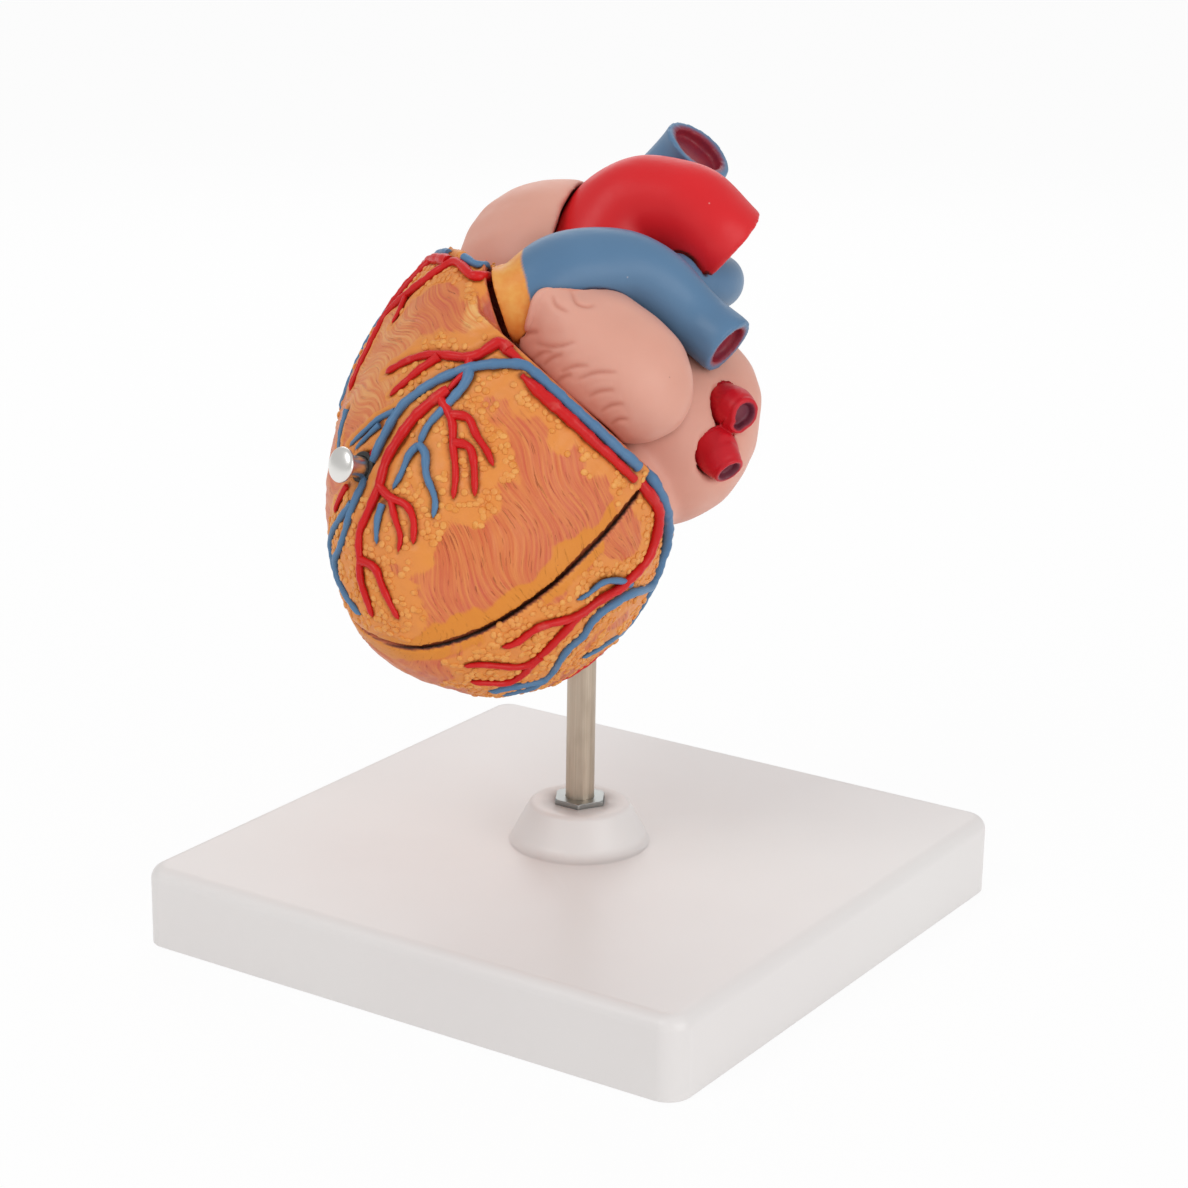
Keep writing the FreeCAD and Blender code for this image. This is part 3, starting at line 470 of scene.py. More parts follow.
def relaxed(points, mesh, times, hold=None):
    """Evens a skin out: each point moves halfway to the middle of its neighbours."""
    edges = np.empty(len(mesh.edges) * 2, dtype=np.int64)
    mesh.edges.foreach_get("vertices", edges)
    first, second = edges.reshape(-1, 2).T
    count = np.bincount(first, minlength=len(points)) + np.bincount(second, minlength=len(points))
    give = 0.5 if hold is None else 0.5 * (1 - hold)[:, None]
    for _ in range(times):
        total = np.zeros_like(points)
        for axis in range(3):
            total[:, axis] += np.bincount(first, points[second, axis], len(points))
            total[:, axis] += np.bincount(second, points[first, axis], len(points))
        points = points + give * (total / count[:, None] - points)
    return points


def set_attribute(mesh, name, values):
    if values.ndim == 1:
        mesh.attributes.new(name, "FLOAT", "POINT").data.foreach_set("value", values.astype(np.float32))
    else:
        flat = np.ascontiguousarray(values, dtype=np.float32).ravel()
        mesh.attributes.new(name, "FLOAT_VECTOR", "POINT").data.foreach_set("vector", flat)


def finish_piece(piece, material, body, slot, *nodes, smooth_angle=None):
    """Paints a piece, hangs it on its body and hides the nodes it replaces. It is smooth all over, or up to
    an angle; 0 keeps it.
    """
    mesh = piece.data
    mesh.materials.clear()
    mesh.materials.append(material)
    if smooth_angle != 0:
        mesh.polygons.foreach_set("use_smooth", np.ones(len(mesh.polygons), dtype=bool))
    if smooth_angle:
        mesh.set_sharp_from_angle(angle=math.radians(smooth_angle))
    mesh.update()
    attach(piece, body)
    if nodes:
        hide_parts(*nodes)


def rumple(points, wave, seed):
    """Smooth noise between about -1 and 1, from a few crossed waves of nearly one length."""
    rng = np.random.default_rng(seed)
    total = np.zeros(len(points))
    for _ in range(9):
        way = rng.normal(size=3)
        way *= 2 * math.pi / (wave * rng.uniform(0.75, 1.5)) / np.linalg.norm(way)
        total += np.sin(points @ way + rng.uniform(0, 2 * math.pi))
    return total / 3.2


def step(low, high, values):
    """0 below low, 1 above high, smooth between; the ends may be given either way round."""
    share = np.clip((values - low) / (high - low), 0, 1)
    return share * share * (3 - 2 * share)


def surface_tree(piece):
    mesh = piece.data
    polygons = [tuple(face.vertices) for face in mesh.polygons]
    return BVHTree.FromPolygons([vertex.co.copy() for vertex in mesh.vertices], polygons)


# ---------------------------------------------------------------- routes of the coronary vessels

# On the side that the camera sees: pixels of its frame.
WALL_VEINS = {
    "groove": ((644, 461), (628, 445), (608, 426), (581, 398), (555, 378), (529, 366), (500, 364),
               (470, 368), (439, 380), (418, 394), (400, 410), (380, 446), (371, 469), (363, 486), (353, 509),
               (342, 546), (336, 559), (339, 579), (350, 600), (361, 615)),
    "edge": ((353, 503), (334.5, 529.5), (331.5, 546), (336, 571), (347, 600)),
    "twin_a": ((396, 412), (381, 418), (361.2, 435), (350, 446)),
    "twin_b": ((380.2, 425), (366, 438), (355, 451)),
    "middle": ((470, 368), (466, 383), (443, 410), (428, 426), (419, 445)),
    "fork_a": ((419, 445), (409, 455), (403, 471), (393, 489)),
    "fork_b": ((419, 445), (426, 453), (426, 473), (434, 493), (436, 503), (433, 518)),
    "stub": ((383, 504), (378, 521), (377, 544)),
    "side": ((348, 410), (342, 430), (339, 451)),
    "crest": ((463.5, 249), (479.2, 243.5), (493.5, 245.5), (503.5, 250.5)),
}
WALL_ARTERIES = {
    "circumflex": ((526.5, 372), (538.5, 385.5), (563.5, 408), (587.5, 430), (611.5, 453.5), (636, 477.5)),
    "left_main": ((514, 346), (502, 341), (486, 351), (470, 358), (435, 355), (411, 360), (386, 373)),
    "left_twig": ((440, 357), (418, 372), (404, 384), (390, 396)),
    "left_link": ((470, 358), (467, 372), (455, 383), (449, 390)),
    "loop": ((502, 341.5), (515.5, 341.5), (522, 351.5), (525.5, 364)),
    "descending": ((449, 390), (433, 402), (413, 420), (395, 446), (386, 463), (380, 486), (368, 514),
                   (360, 534), (361, 557), (361, 579), (368, 600), (373, 617)),
    "branch_a": ((380, 486), (391, 499), (406, 504), (414, 521), (413, 544)),
    "branch_b": ((391, 499), (395, 518), (401, 537), (398, 552)),
    "branch_c": ((361, 560), (376, 567), (381, 582), (391, 604), (399, 619)),
    "diagonal_a": ((440, 398), (448, 411), (453, 425), (453, 443), (456, 473), (453, 499)),
    "diagonal_b": ((452, 415), (469, 418), (476, 435), (487, 451), (493, 466)),
    "diagonal_c": ((454, 443), (469, 446), (474, 463), (475, 496)),
    "left_edge_a": ((375, 453), (366, 462)),
    "left_edge_b": ((348, 486), (338, 503), (335, 513)),
    "right_main": ((503, 256.5), (487.8, 255.2), (470.5, 256), (453, 262.5), (431, 277), (409, 293.5),
                   (391, 310), (380, 327), (373, 340)),
    "right_twig": ((406, 297), (398, 314.5), (392, 323.5)),
}
BODY_ARTERIES = {
    "margin": ((641.2, 485), (657, 508), (655, 535), (645, 560), (631, 576), (619, 588), (598, 600),
               (578, 615), (558, 621), (537, 627), (515, 643), (502, 647)),
    "margin_b": ((578, 615), (558, 637), (539, 655), (521, 666), (480, 664), (464, 666)),
    "margin_c": ((539, 655), (513, 680), (484, 682), (470, 681)),
}
BODY_VEINS = {
    "margin": ((646, 470.5), (657, 488), (665.5, 513), (666, 539), (658.5, 564), (649, 586), (631, 592),
               (611, 604), (594, 617), (582, 635), (566, 649), (555, 666),
               (545, 678), (521, 684), (488, 690.5)),
    "margin_b": ((545, 678), (529, 687.5), (500.5, 694.5)),
    "stub": ((629, 583), (619, 580), (602, 582), (590, 592), (577, 600)),
    "edge": ((652, 584), (631, 621), (606, 643), (582, 658)),
}
# On the hidden side: heading in degrees from the front wall towards the left, and height.
WALL_FAR_ARTERIES = {
    "right_groove": ((-24, 24.5), (-38, 24), (-52, 23.5), (-64, 23)),
    "right_branch": ((-40, 23.5), (-42, 14), (-38, 4), (-39, -6)),
}
WALL_FAR_VEINS = {
    "small_vein": ((-30, 26.3), (-46, 26), (-63, 25.5)),
    "right_vein": ((-52, 24), (-53, 12), (-49, 1), (-50, -9)),
}
BODY_FAR_ARTERIES = {
    "right_groove": ((-76, 22.5), (-95, 23), (-120, 23.5), (-145, 23), (-168, 22), (-178, 18)),
    "back_descending": ((-178, 18), (-180, 8), (-177, -3), (-180, -13), (-176, -22), (-178, -28)),
    "right_margin": ((-82, 22.5), (-86, 12), (-82, 1), (-85, -9), (-80, -18)),
    "right_back": ((-122, 23), (-127, 13), (-123, 3), (-128, -6)),
    "left_back": ((-172, 20), (166, 14), (159, 4), (154, -6), (156, -14)),
    "left_groove": ((134, 21), (142, 20), (152, 20.5)),
    "septal_a": ((-179, 4), (-170, -2), (-166, -9)),
    "left_margin": ((134, 20), (138, 9), (135, -3), (140, -13)),
}
BODY_FAR_VEINS = {
    "coronary_sinus": ((141, 24.8), (152, 24.6), (166, 25), (178, 24.4), (-166, 23.6)),
    "middle_vein": ((174, 24), (171, 12), (174, 1), (170, -9), (173, -19), (170, -26)),
    "small_vein": ((-168, 25.5), (-142, 26), (-112, 26), (-78, 25.6)),
    "right_margin": ((-92, 25.5), (-95, 14), (-91, 4), (-94, -6)),
    "left_back": ((146, 24), (147, 12), (144, 1), (148, -9)),
}
# Widest radius of each route; the others have the plain one.
VEIN_RADIUS = 0.85
ARTERY_RADIUS = 0.95
WIDE = {"groove": 1.15, "circumflex": 1.45, "margin": 1.25, "descending": 1.15, "left_main": 1.15,
        "right_main": 1.15, "coronary_sinus": 1.6, "right_groove": 1.3, "back_descending": 1.1,
        "middle": 1.05, "left_groove": 1.3, "edge": 0.8, "branch_b": 0.75, "twin_a": 0.7, "twin_b": 0.6,
        "fork_a": 0.8, "fork_b": 0.9, "stub": 0.8, "side": 0.7, "left_link": 0.9, "loop": 1.2,
        "right_twig": 0.6, "septal_a": 0.7, "left_edge_a": 0.8, "left_edge_b": 0.7}
# Routes that run on into another one keep their width at that end.
OPEN_END = {"circumflex", "left_link", "loop", "right_groove", "small_vein", "left_groove",
            "coronary_sinus"}
# Step between the points of a route, in millimetres.
SAMPLE = 0.7
# Left of this u the front wall's top runs round behind the trunk's root.
ROOT_EDGE = -17.0
# Which way down the outside leads on the view plane, right and left of that edge.
DOWN_RIGHT = np.array((-0.75, -0.66)) * 0.3
DOWN_LEFT = np.array((0.12, -0.99)) * 0.3
# Headings count less than heights when a hidden route is smoothed: about a millimetre each.
HEADING_SCALE = 0.6
# How far below the flat top the centre lines that follow it stay.
BELOW_TOP = {"groove": 1.3, "circumflex": 3.5, "right_main": 2.3, "crest": 0.95, "loop": 1.5,
             "right_groove": 3.2, "coronary_sinus": 2.1, "left_groove": 4.4}
LEAST_BELOW_TOP = 1.2


def smooth_line(points, sample=SAMPLE):
    """A Catmull-Rom line through given points, sampled evenly."""
    points = np.array(points, float)
    ends = np.vstack([2 * points[0] - points[1], points, 2 * points[-1] - points[-2]])
    line = []
    for a, b, c, d in zip(ends[:-3], ends[1:-2], ends[2:-1], ends[3:]):
        count = max(2, int(np.linalg.norm(c - b) / sample))
        for share in np.arange(count) / count:
            line.append(0.5 * (
                2 * b + (c - a) * share + (2 * a - 5 * b + 4 * c - d) * share ** 2
                + (3 * b - a - 3 * c + d) * share ** 3
            ))
    line.append(points[-1])
    return np.array(line)


def seen_on(tree, u, v):
    """The point and outward normal of the skin seen at (u, v); past the rim, the nearest one."""
    target = AIM + RIGHT * (u * MM) + UP * (v * MM)
    way = (target - EYE).normalized()
    spot, normal, _, _ = tree.ray_cast(EYE, way)
    if spot is None:
        heart = Vector(HEART_AT) * MM
        nearest = EYE + way * (heart - EYE).dot(way)
        spot, normal, _, _ = tree.find_nearest(nearest)
    return spot, normal


def outside_on(tree, name, u, v):
    """As seen_on, but slid down the front wall's outside where the top's edge would be too near."""
    least = BELOW_TOP.get(name, LEAST_BELOW_TOP)
    slide = DOWN_RIGHT if u > ROOT_EDGE else DOWN_LEFT
    for _ in range(16):
        spot, normal = seen_on(tree, u, v)
        if depth_below_top(to_heart(np.array(spot)), True) >= least and normal.dot(BACK) > 0.05:
            break
        u, v = u + slide[0], v + slide[1]
    return spot, normal


def around_on(tree, heading, height):
    """The point of the skin at a heading about the heart's long axis."""
    share = (WIDE_PLANE - height) / APEX_REACH
    x, y = form_middle(share)
    turn = math.radians(heading)
    away = np.array((math.cos(turn), math.sin(turn), 0))
    start = from_heart(np.array((x, y, height)) + away * 70)
    way = -(HEART_TURN @ away)
    spot, normal, _, _ = tree.ray_cast(Vector(start), Vector(way))
    if spot is None:
        spot, normal, _, _ = tree.find_nearest(Vector(from_heart(np.array((x, y, height)) + away * 36)))
    return spot, normal


def unwound(points):
    """Headings that pass 180 degrees, made continuous."""
    points = np.array(points, float)
    points[:, 0] = np.degrees(np.unwrap(np.radians(points[:, 0])))
    return points


def kept_below_top(tree, name, spots, normals, front):
    """Moves the points of a line that lie too near the flat top down the outside."""
    least = BELOW_TOP.get(name, LEAST_BELOW_TOP)
    local = to_heart(spots)
    short = least - depth_below_top(local, front)
    for number in np.nonzero(short > 0)[0]:
        x, y, z = local[number]
        for _ in range(3):
            z = z + depth_below_top(np.array((x, y, z)), front) - least
            middle = form_middle((WIDE_PLANE - z) / APEX_REACH)
            heading = math.degrees(math.atan2(y - middle[1], x - middle[0]))
            spot, normal = around_on(tree, heading, z)
            x, y, _ = to_heart(np.array(spot))
        spots[number], normals[number] = spot, normal


def laid_route(tree, name, points, far, thick, seed, front):
    """A vessel's centre line on the skin, with its radius at every point, in metres."""
    rng = np.random.default_rng(seed)
    if far:
        flat = unwound(points)
        flat[:, 0] *= HEADING_SCALE
        line = smooth_line(flat)
        found = [around_on(tree, heading / HEADING_SCALE, height) for heading, height in line]
    else:
        line = smooth_line([view_plane_point(x, y) for x, y in points])
        found = [outside_on(tree, name, u, v) if front else seen_on(tree, u, v) for u, v in line]
    spots = np.array([spot for spot, _ in found])
    normals = np.array([normal for _, normal in found])
    if far or not front:
        kept_below_top(tree, name, spots, normals, front)
    for _ in range(3):
        spots[1:-1] = (spots[:-2] + 2 * spots[1:-1] + spots[2:]) / 4
        normals[1:-1] = (normals[:-2] + 2 * normals[1:-1] + normals[2:]) / 4
    normals /= np.linalg.norm(normals, axis=1)[:, None]
    steps = np.linalg.norm(np.diff(spots, axis=0), axis=1)
    run = np.concatenate([[0], np.cumsum(steps)]) / MM
    share = run / run[-1]
    radius = thick * (1 - 0.42 * share)
    if name == "circumflex":
        radius = radius * np.sqrt(np.clip(run / 5, 0.15, 1))
    slow = np.sin(run * 1.3 + rng.uniform(0, 6))
    quick = np.sin(run * 2.9 + rng.uniform(0, 6))
    radius = radius * (1 + 0.07 * slow + 0.05 * quick)
    if name not in OPEN_END:
        left = np.clip((run[-1] - run) / (1.6 * thick), 0, 1)
        radius = radius * np.sqrt(np.clip(1 - (1 - left) ** 2, 0.03, 1))
    lift = (0.28 if name != "loop" else -0.1) * radius
    return spots + normals * (lift * MM)[:, None], radius * MM


def tube_tree():
    """Geometry nodes: a polyline with a girth at each point becomes a closed round vessel."""
    tree = bpy.data.node_groups.new("vessel_tube", "GeometryNodeTree")
    tree.interface.new_socket("Geometry", in_out="INPUT", socket_type="NodeSocketGeometry")
    tree.interface.new_socket("Sides", in_out="INPUT", socket_type="NodeSocketInt")
    tree.interface.new_socket("Finish", in_out="INPUT", socket_type="NodeSocketMaterial")
    tree.interface.new_socket("Geometry", in_out="OUTPUT", socket_type="NodeSocketGeometry")
    graph = Graph(tree)
    given = tree.nodes.new("NodeGroupInput")
    girth = graph.node("GeometryNodeInputNamedAttribute", {"data_type": "FLOAT"}, {"Name": "girth"})
    path = graph.node("GeometryNodeMeshToCurve", None, {0: Value(graph, given.outputs[0])})
    path = graph.node("GeometryNodeSetCurveRadius", None, {"Curve": path, "Radius": girth})
    sides = Value(graph, given.outputs[1])
    ring = graph.node("GeometryNodeCurvePrimitiveCircle", None, {"Resolution": sides})
    ring.socket.node.inputs["Radius"].default_value = 1
    sweep = tree.nodes.new("GeometryNodeCurveToMesh")
    tree.links.new(path.socket, sweep.inputs["Curve"])
    tree.links.new(ring.socket, sweep.inputs["Profile Curve"])
    sweep.inputs["Fill Caps"].default_value = True
    if "Scale" in sweep.inputs:
        tree.links.new(girth.socket, sweep.inputs["Scale"])
    whole = graph.node("GeometryNodeRealizeInstances", None, {0: Value(graph, sweep.outputs[0])})
    finish = Value(graph, given.outputs[2])
    painted = graph.node("GeometryNodeSetMaterial", None, {0: whole, "Material": finish})
    result = tree.nodes.new("NodeGroupOutput")
    tree.links.new(painted.socket, result.inputs[0])
    return tree


def scatter_tree():
    """Geometry nodes: fat pearls spread over the skin where its lobes attribute allows."""
    tree = bpy.data.node_groups.new("fat_pearls", "GeometryNodeTree")
    tree.interface.new_socket("Geometry", in_out="INPUT", socket_type="NodeSocketGeometry")
    for name, kind in (("Spacing", "Float"), ("Size", "Float"), ("Seed", "Int"), ("Finish", "Material")):
        tree.interface.new_socket(name, in_out="INPUT", socket_type="NodeSocket" + kind)
    tree.interface.new_socket("Geometry", in_out="OUTPUT", socket_type="NodeSocketGeometry")
    graph = Graph(tree)
    given = tree.nodes.new("NodeGroupInput")
    skin, spacing, size, seed, finish = (Value(graph, given.outputs[n]) for n in range(5))
    mask = graph.node("GeometryNodeInputNamedAttribute", {"data_type": "FLOAT"}, {"Name": "lobes"})
    spread = graph.node(
        "GeometryNodeDistributePointsOnFaces", {"distribute_method": "POISSON"},
        {"Mesh": skin, "Distance Min": spacing, "Density Max": 900000.0, "Density Factor": mask,
         "Seed": seed},
    )
    turned = Value(graph, spread.socket.node.outputs["Rotation"])
    swell = graph.node(
        "FunctionNodeRandomValue", {"data_type": "FLOAT_VECTOR"},
        {0: (0.75, 0.75, 0.32), 1: (1.25, 1.15, 0.5), "Seed": seed},
    )
    scale = graph.node("ShaderNodeVectorMath", {"operation": "SCALE"}, {0: swell, "Scale": size})
    pearl = graph.node("GeometryNodeMeshUVSphere", None, {"Segments": 9, "Rings": 6, "Radius": 1.0})
    placed = graph.node(
        "GeometryNodeInstanceOnPoints", None,
        {"Points": spread, "Instance": pearl, "Rotation": turned, "Scale": scale},
    )
    whole = graph.node("GeometryNodeRealizeInstances", None, {0: placed})
    painted = graph.node("GeometryNodeSetMaterial", None, {0: whole, "Material": finish})
    result = tree.nodes.new("NodeGroupOutput")
    tree.links.new(painted.socket, result.inputs[0])
    return tree


def grown(piece, tree, **inputs):
    """Runs a geometry node tree on a piece and keeps its result as a plain mesh."""
    modifier = piece.modifiers.new(tree.name, "NODES")
    modifier.node_group = tree
    for item in tree.interface.items_tree:
        if item.item_type == "SOCKET" and item.in_out == "INPUT" and item.name in inputs:
            modifier[item.identifier] = inputs[item.name]
    return baked(piece)


def vessels(name, tree, near_and_far, thick, material, body, slot):
    """All vessels of one colour on one body, as one mesh. Returns their centre points and radii."""
    verts, edges, girth = [], [], []
    for far, routes in enumerate(near_and_far):
        for number, (route, points) in enumerate(routes.items()):
            seed = 100 * far + number
            width = WIDE.get(route, thick)
            line, radius = laid_route(tree, route, points, far, width, seed, body == "front_wall")
            start = len(verts)
            verts.extend(line)
            girth.extend(radius)
            edges.extend((start + i, start + i + 1) for i in range(len(line) - 1))
    mesh = bpy.data.meshes.new(name)
    mesh.from_pydata([tuple(v) for v in verts], edges, [])
    set_attribute(mesh, "girth", np.array(girth))
    piece = bpy.data.objects.new(name, mesh)
    bpy.context.scene.collection.objects.link(piece)
    grown(piece, tube_tree(), Sides=12, Finish=material)
    finish_piece(piece, material, body, slot)
    return np.array(verts), np.array(girth)


# ---------------------------------------------------------------- ventricles

FRONT_VOXEL = 0.00055
BACK_VOXEL = 0.00059
# Middles of two patches of bare muscle: below the pulmonary root, and on the back half's side.
CONUS_PATCH = view_plane_point(439.5, 304.8)
REAR_PATCH = view_plane_point(621, 533)


def view_plane(points):
    """Where the eye sees points on the view plane, in millimetres."""
    back, right, up, eye = (np.array(v) for v in (BACK, RIGHT, UP, EYE))
    ray = points - eye
    reach = DISTANCE / -(ray @ back)
    seen = ray * reach[:, None]
    return np.stack([(seen @ right) / MM, (seen @ up) / MM], axis=1)


def vessel_distance(points, centres, girths):
    """Distance in millimetres from each point to the side of the nearest vessel."""
    tree = KDTree(len(centres))
    for number, centre in enumerate(centres):
        tree.insert(centre, number)
    tree.balance()
    found = [tree.find(point)[1:] for point in points]
    numbers = np.array([number for number, _ in found])
    return (np.array([reach for _, reach in found]) - girths[numbers]) / MM


# Skin left over a locating peg's end, and the half axes of the lens that closes it.
PEG_COVER = 1.3
CAP = (3.4, 3.4, 0.75)


def peg_ends():
    """The outer ends of the locating pegs that reach close to the outside, in the heart frame."""
    local = to_heart(vertex_array(frame["nodes"]["locating_pegs"].data))
    tips = local[(local[:, 0] > SEAM_PLANE + 2) & (depth_below_form(local)[0] < 4.5)]
    ends = []
    while len(tips):
        close = np.hypot(*(tips - tips[0])[:, 1:].T) < 5
        ends.append((tips[close].min(axis=0) + tips[close].max(axis=0)) / 2)
        tips = tips[~close]
    return ends


def covered(piece):
    """Closes the outer skin over the ends of the locating pegs."""
    work = bmesh.new()
    work.from_mesh(piece.data)
    for end in peg_ends():
        depth, share = depth_below_form(end[None])
        x, y = form_middle(share[0])
        out = np.array((end[0] - x, end[1] - y, 0))
        out /= np.linalg.norm(out)
        middle = from_heart(end + out * (depth[0] - CAP[2] - 0.1))
        turn = Vector(HEART_TURN @ out).to_track_quat("Z", "Y").to_matrix().to_4x4()
        size = Matrix.Diagonal((CAP[0] * MM, CAP[1] * MM, CAP[2] * MM, 1))
        bmesh.ops.create_uvsphere(
            work, u_segments=24, v_segments=12, radius=1, matrix=Matrix.Translation(middle) @ turn @ size,
        )
    work.to_mesh(piece.data)
    work.free()
    return piece


def sculpt_ventricles(node, body, centres, girths, material):
    """The painted relief of one half: fat beds, muscle fibres, margins, chambers and cut faces."""
    front = body == "front_wall"
    facing_from = np.array(BACK)
    skin = merged_copy(node)
    piece = remeshed(covered(skin), FRONT_VOXEL) if front else remeshed(skin, BACK_VOXEL)
    mesh = piece.data
    points = relaxed(vertex_array(mesh), mesh, 5)
    set_vertices(mesh, points)
    normals = normal_array(mesh)
    local = to_heart(points)
    depth, share = depth_below_form(local)
    below_top = depth_below_top(local, front)
    local_normals = normals @ HEART_TURN

    # Flat faces at the seam and the top, the outside, and the chambers.
    cut = step(1.3, 0.7, np.abs(local[:, 0] - SEAM_PLANE)) * step(0.6, 0.85, np.abs(local_normals[:, 0]))
    cut = np.maximum(cut, step(1.4, 0.6, below_top) * step(0.6, 0.85, local_normals[:, 2]))
    outer = step(2.2, 1.2, depth) * (1 - cut)
    inside = step(2.0, 3.0, depth) * (1 - cut)

    # Fat along the vessels and below the top, and the smooth margin along the seam.
    away = vessel_distance(points, centres, girths)
    ragged = rumple(points / MM, 9.0, 3) * 1.4 + rumple(points / MM, 3.5, 4) * 0.7
    seen = view_plane(points)
    u, v = seen[:, 0], seen[:, 1]
    facing = step(0.0, 0.3, normals @ facing_from)
    lean_side = step(-34, -41, u + ragged) * step(28, 34, v) * facing * front
    near = step(6.2, 3.0, away * (1 + 2.2 * lean_side) + ragged)
    top_band = step(6.0, 3.6, below_top + ragged + 6 * lean_side)
    seam = np.abs(local[:, 0] - SEAM_PLANE)
    margin = step(5.2, 3.0, seam + ragged * 0.7)
    fat = np.clip(np.maximum(near, top_band), 0, 1) * outer

    # Bare patches, the pale streaks beside the pulmonary root, and the fairer left side.
    conus = np.hypot((u - CONUS_PATCH[0]) / 5.6, (v - CONUS_PATCH[1]) / 7.2) + ragged * 0.1
    conus = step(1.3, 0.8, conus) * facing * front
    pale = step(0, 5, v - 61 - ragged * 0.8) * step(-28, -23, u + ragged) * facing * front * (1 - near)
    fair = step(-27, -33, u + ragged) * step(42, 50, v + ragged) * facing * front * (1 - near)
    pale = np.maximum(pale * (1 - 0.8 * conus), 0.55 * fair * (1 - conus))
    patch = np.hypot((u - REAR_PATCH[0]) / 3.4, (v - REAR_PATCH[1]) / 5.2) + ragged * 0.12
    rear = step(1.25, 0.9, patch) * facing * (not front)
    fat = fat * (1 - 0.9 * conus * (1 - near)) * (1 - rear)
    margin = margin * outer * (1 - 0.85 * fat) * (1 - rear)

    # Fibres wind round the heart's long axis; pearls of fat sit in patches between the vessels.
    heading = np.arctan2(local[:, 1] - form_middle(share)[1], local[:, 0] - form_middle(share)[0])
    across = local[:, 2] + 8.5 * np.sin(heading - 0.6) + 1.3 * rumple(points / MM, 13, 9)
    fibre = np.stack([across, 36 * np.cos(heading), 36 * np.sin(heading)], axis=1)
    muscle = outer * (1 - fat) * (1 - margin)
    strands = rumple(fibre * (1, 0.09, 0.09), 1.9, 11) + 0.6 * rumple(fibre * (1, 0.12, 0.12), 1.2, 12)
    bed = np.exp(-((away - 0.1) / 0.45) ** 2)
    bank = np.exp(-((away - 1.5) / 0.9) ** 2)
    patchy = rumple(points / MM, 7, 8) + 0.9 * step(4.2, 1.6, away)
    lobes = np.clip(fat * step(0.25, 0.9, away) * step(-0.35, 0.25, patchy) * (1 - lean_side), 0, 1)
    lobes = lobes * step(0.3, 1.2, below_top) * step(0.6, 1.6, seam)

    # Relief: vessel beds and their banks, fibres, fat, ridged chamber walls, and the seam's eased edge.
    gape = 0.4 + 0.45 * step(-38, -8, u)
    move = outer * (-0.30 * bed + 0.16 * bank * (0.4 + 0.6 * fat) + 0.10 * fat)
    move = move + muscle * 0.10 * strands + outer * 0.22 * rumple(points / MM, 16, 5)
    move = move + fat * 0.10 * rumple(points / MM, 2.2, 6)
    ridges = 1 - np.abs(rumple(local * (0.5, 0.5, 0.22), 2.4, 21))
    eased = gape * np.exp(-(seam / 0.5) ** 2) * step(2.2, 1.2, depth)
    move = move + inside * 0.55 * (ridges - 0.4) - 0.36 * eased
    set_vertices(mesh, points + normals * (move * MM)[:, None])

    # Painted shade for the seam: near-black on the outside along the seam and on the outer edge of the cut
    # faces.
    seam_shade_on_cut = cut * step(1.7, 0.9, depth) * step(2.0, 1.0, seam)
    for name, values in (
        ("fat", fat),
        ("margin", margin),
        ("inside", inside),
        ("cut", cut),
        ("rim", np.maximum(outer * step(0.5, 0.2, seam / gape), seam_shade_on_cut)),
        ("pale", pale),
        # Painted shade in the crevices beside the vessels.
        ("crevice", outer * np.exp(-(np.clip(away, 0, None) / 0.32) ** 2)),
        ("fibre", fibre * MM),
        ("lobes", lobes * outer * (lobes > 0.25)),
    ):
        set_attribute(mesh, name, values)
    finish_piece(piece, material, body, "ventricle", node)
    return piece


def fat_pearls(name, skin, material, body, seed):
    """The pearls of fat that stand on one half's skin, as one mesh."""
    piece = bpy.data.objects.new(name, skin.data.copy())
    bpy.context.scene.collection.objects.link(piece)
    grown(piece, scatter_tree(), Spacing=0.00092, Size=0.00076, Seed=seed, Finish=material)
    finish_piece(piece, material, body, "ventricle")


# ---------------------------------------------------------------- atria and great vessels

# Folds of the left auricle, as pixels of the camera's frame.
FOLDS = (
    ((535, 344), (555.5, 347), (575, 342)), ((561, 372), (574.5, 367), (588, 366)),
    ((577.5, 379.5), (596, 373), (616, 372.5)), ((588, 397), (598.5, 392.5), (613.5, 390)),
    ((522, 338), (529, 333), (538, 332.5)), ((552.5, 295.5), (556, 305), (568, 311.5)),
    ((572.5, 289.5), (577, 302), (587.5, 306), (595.2, 304.5)), ((543, 365.5), (553, 357.7), (562.5, 354)),
    ((600, 412.5), (610, 406.5), (622.5, 404.5)), ((532.5, 359.5), (542.5, 352.7), (552, 352)),
    ((557.5, 381), (565, 376.5), (572, 374.5)), ((610, 425.5), (617.5, 420.5), (627.5, 420)),
)
FOLD_WIDTH = 0.42
FOLD_SAMPLE = 0.12


def fold_field(points, tree):
    """How deep each point lies in the nearest fold, 0 to 1, and the swelling beside it."""
    deep = np.zeros(len(points))
    beside = np.zeros(len(points))
    for fold in FOLDS:
        route = smooth_line([view_plane_point(x, y) for x, y in fold], FOLD_SAMPLE)
        line = np.array([seen_on(tree, u, v)[0] for u, v in route])
        spots = KDTree(len(line))
        for number, spot in enumerate(line):
            spots.insert(spot, number)
        spots.balance()
        found = [spots.find(point)[1:] for point in points]
        share = np.array([number for number, _ in found]) / (len(line) - 1)
        reach = np.array([reach for _, reach in found]) / MM
        strength = np.sqrt(np.clip(1 - (2 * share - 1) ** 2, 0, 1)) * 0.8 + 0.2
        deep = np.maximum(deep, strength * np.exp(-(reach / FOLD_WIDTH) ** 2))
        beside = np.maximum(beside, strength * np.exp(-((reach - 1.3) / 0.8) ** 2))
    return deep, beside


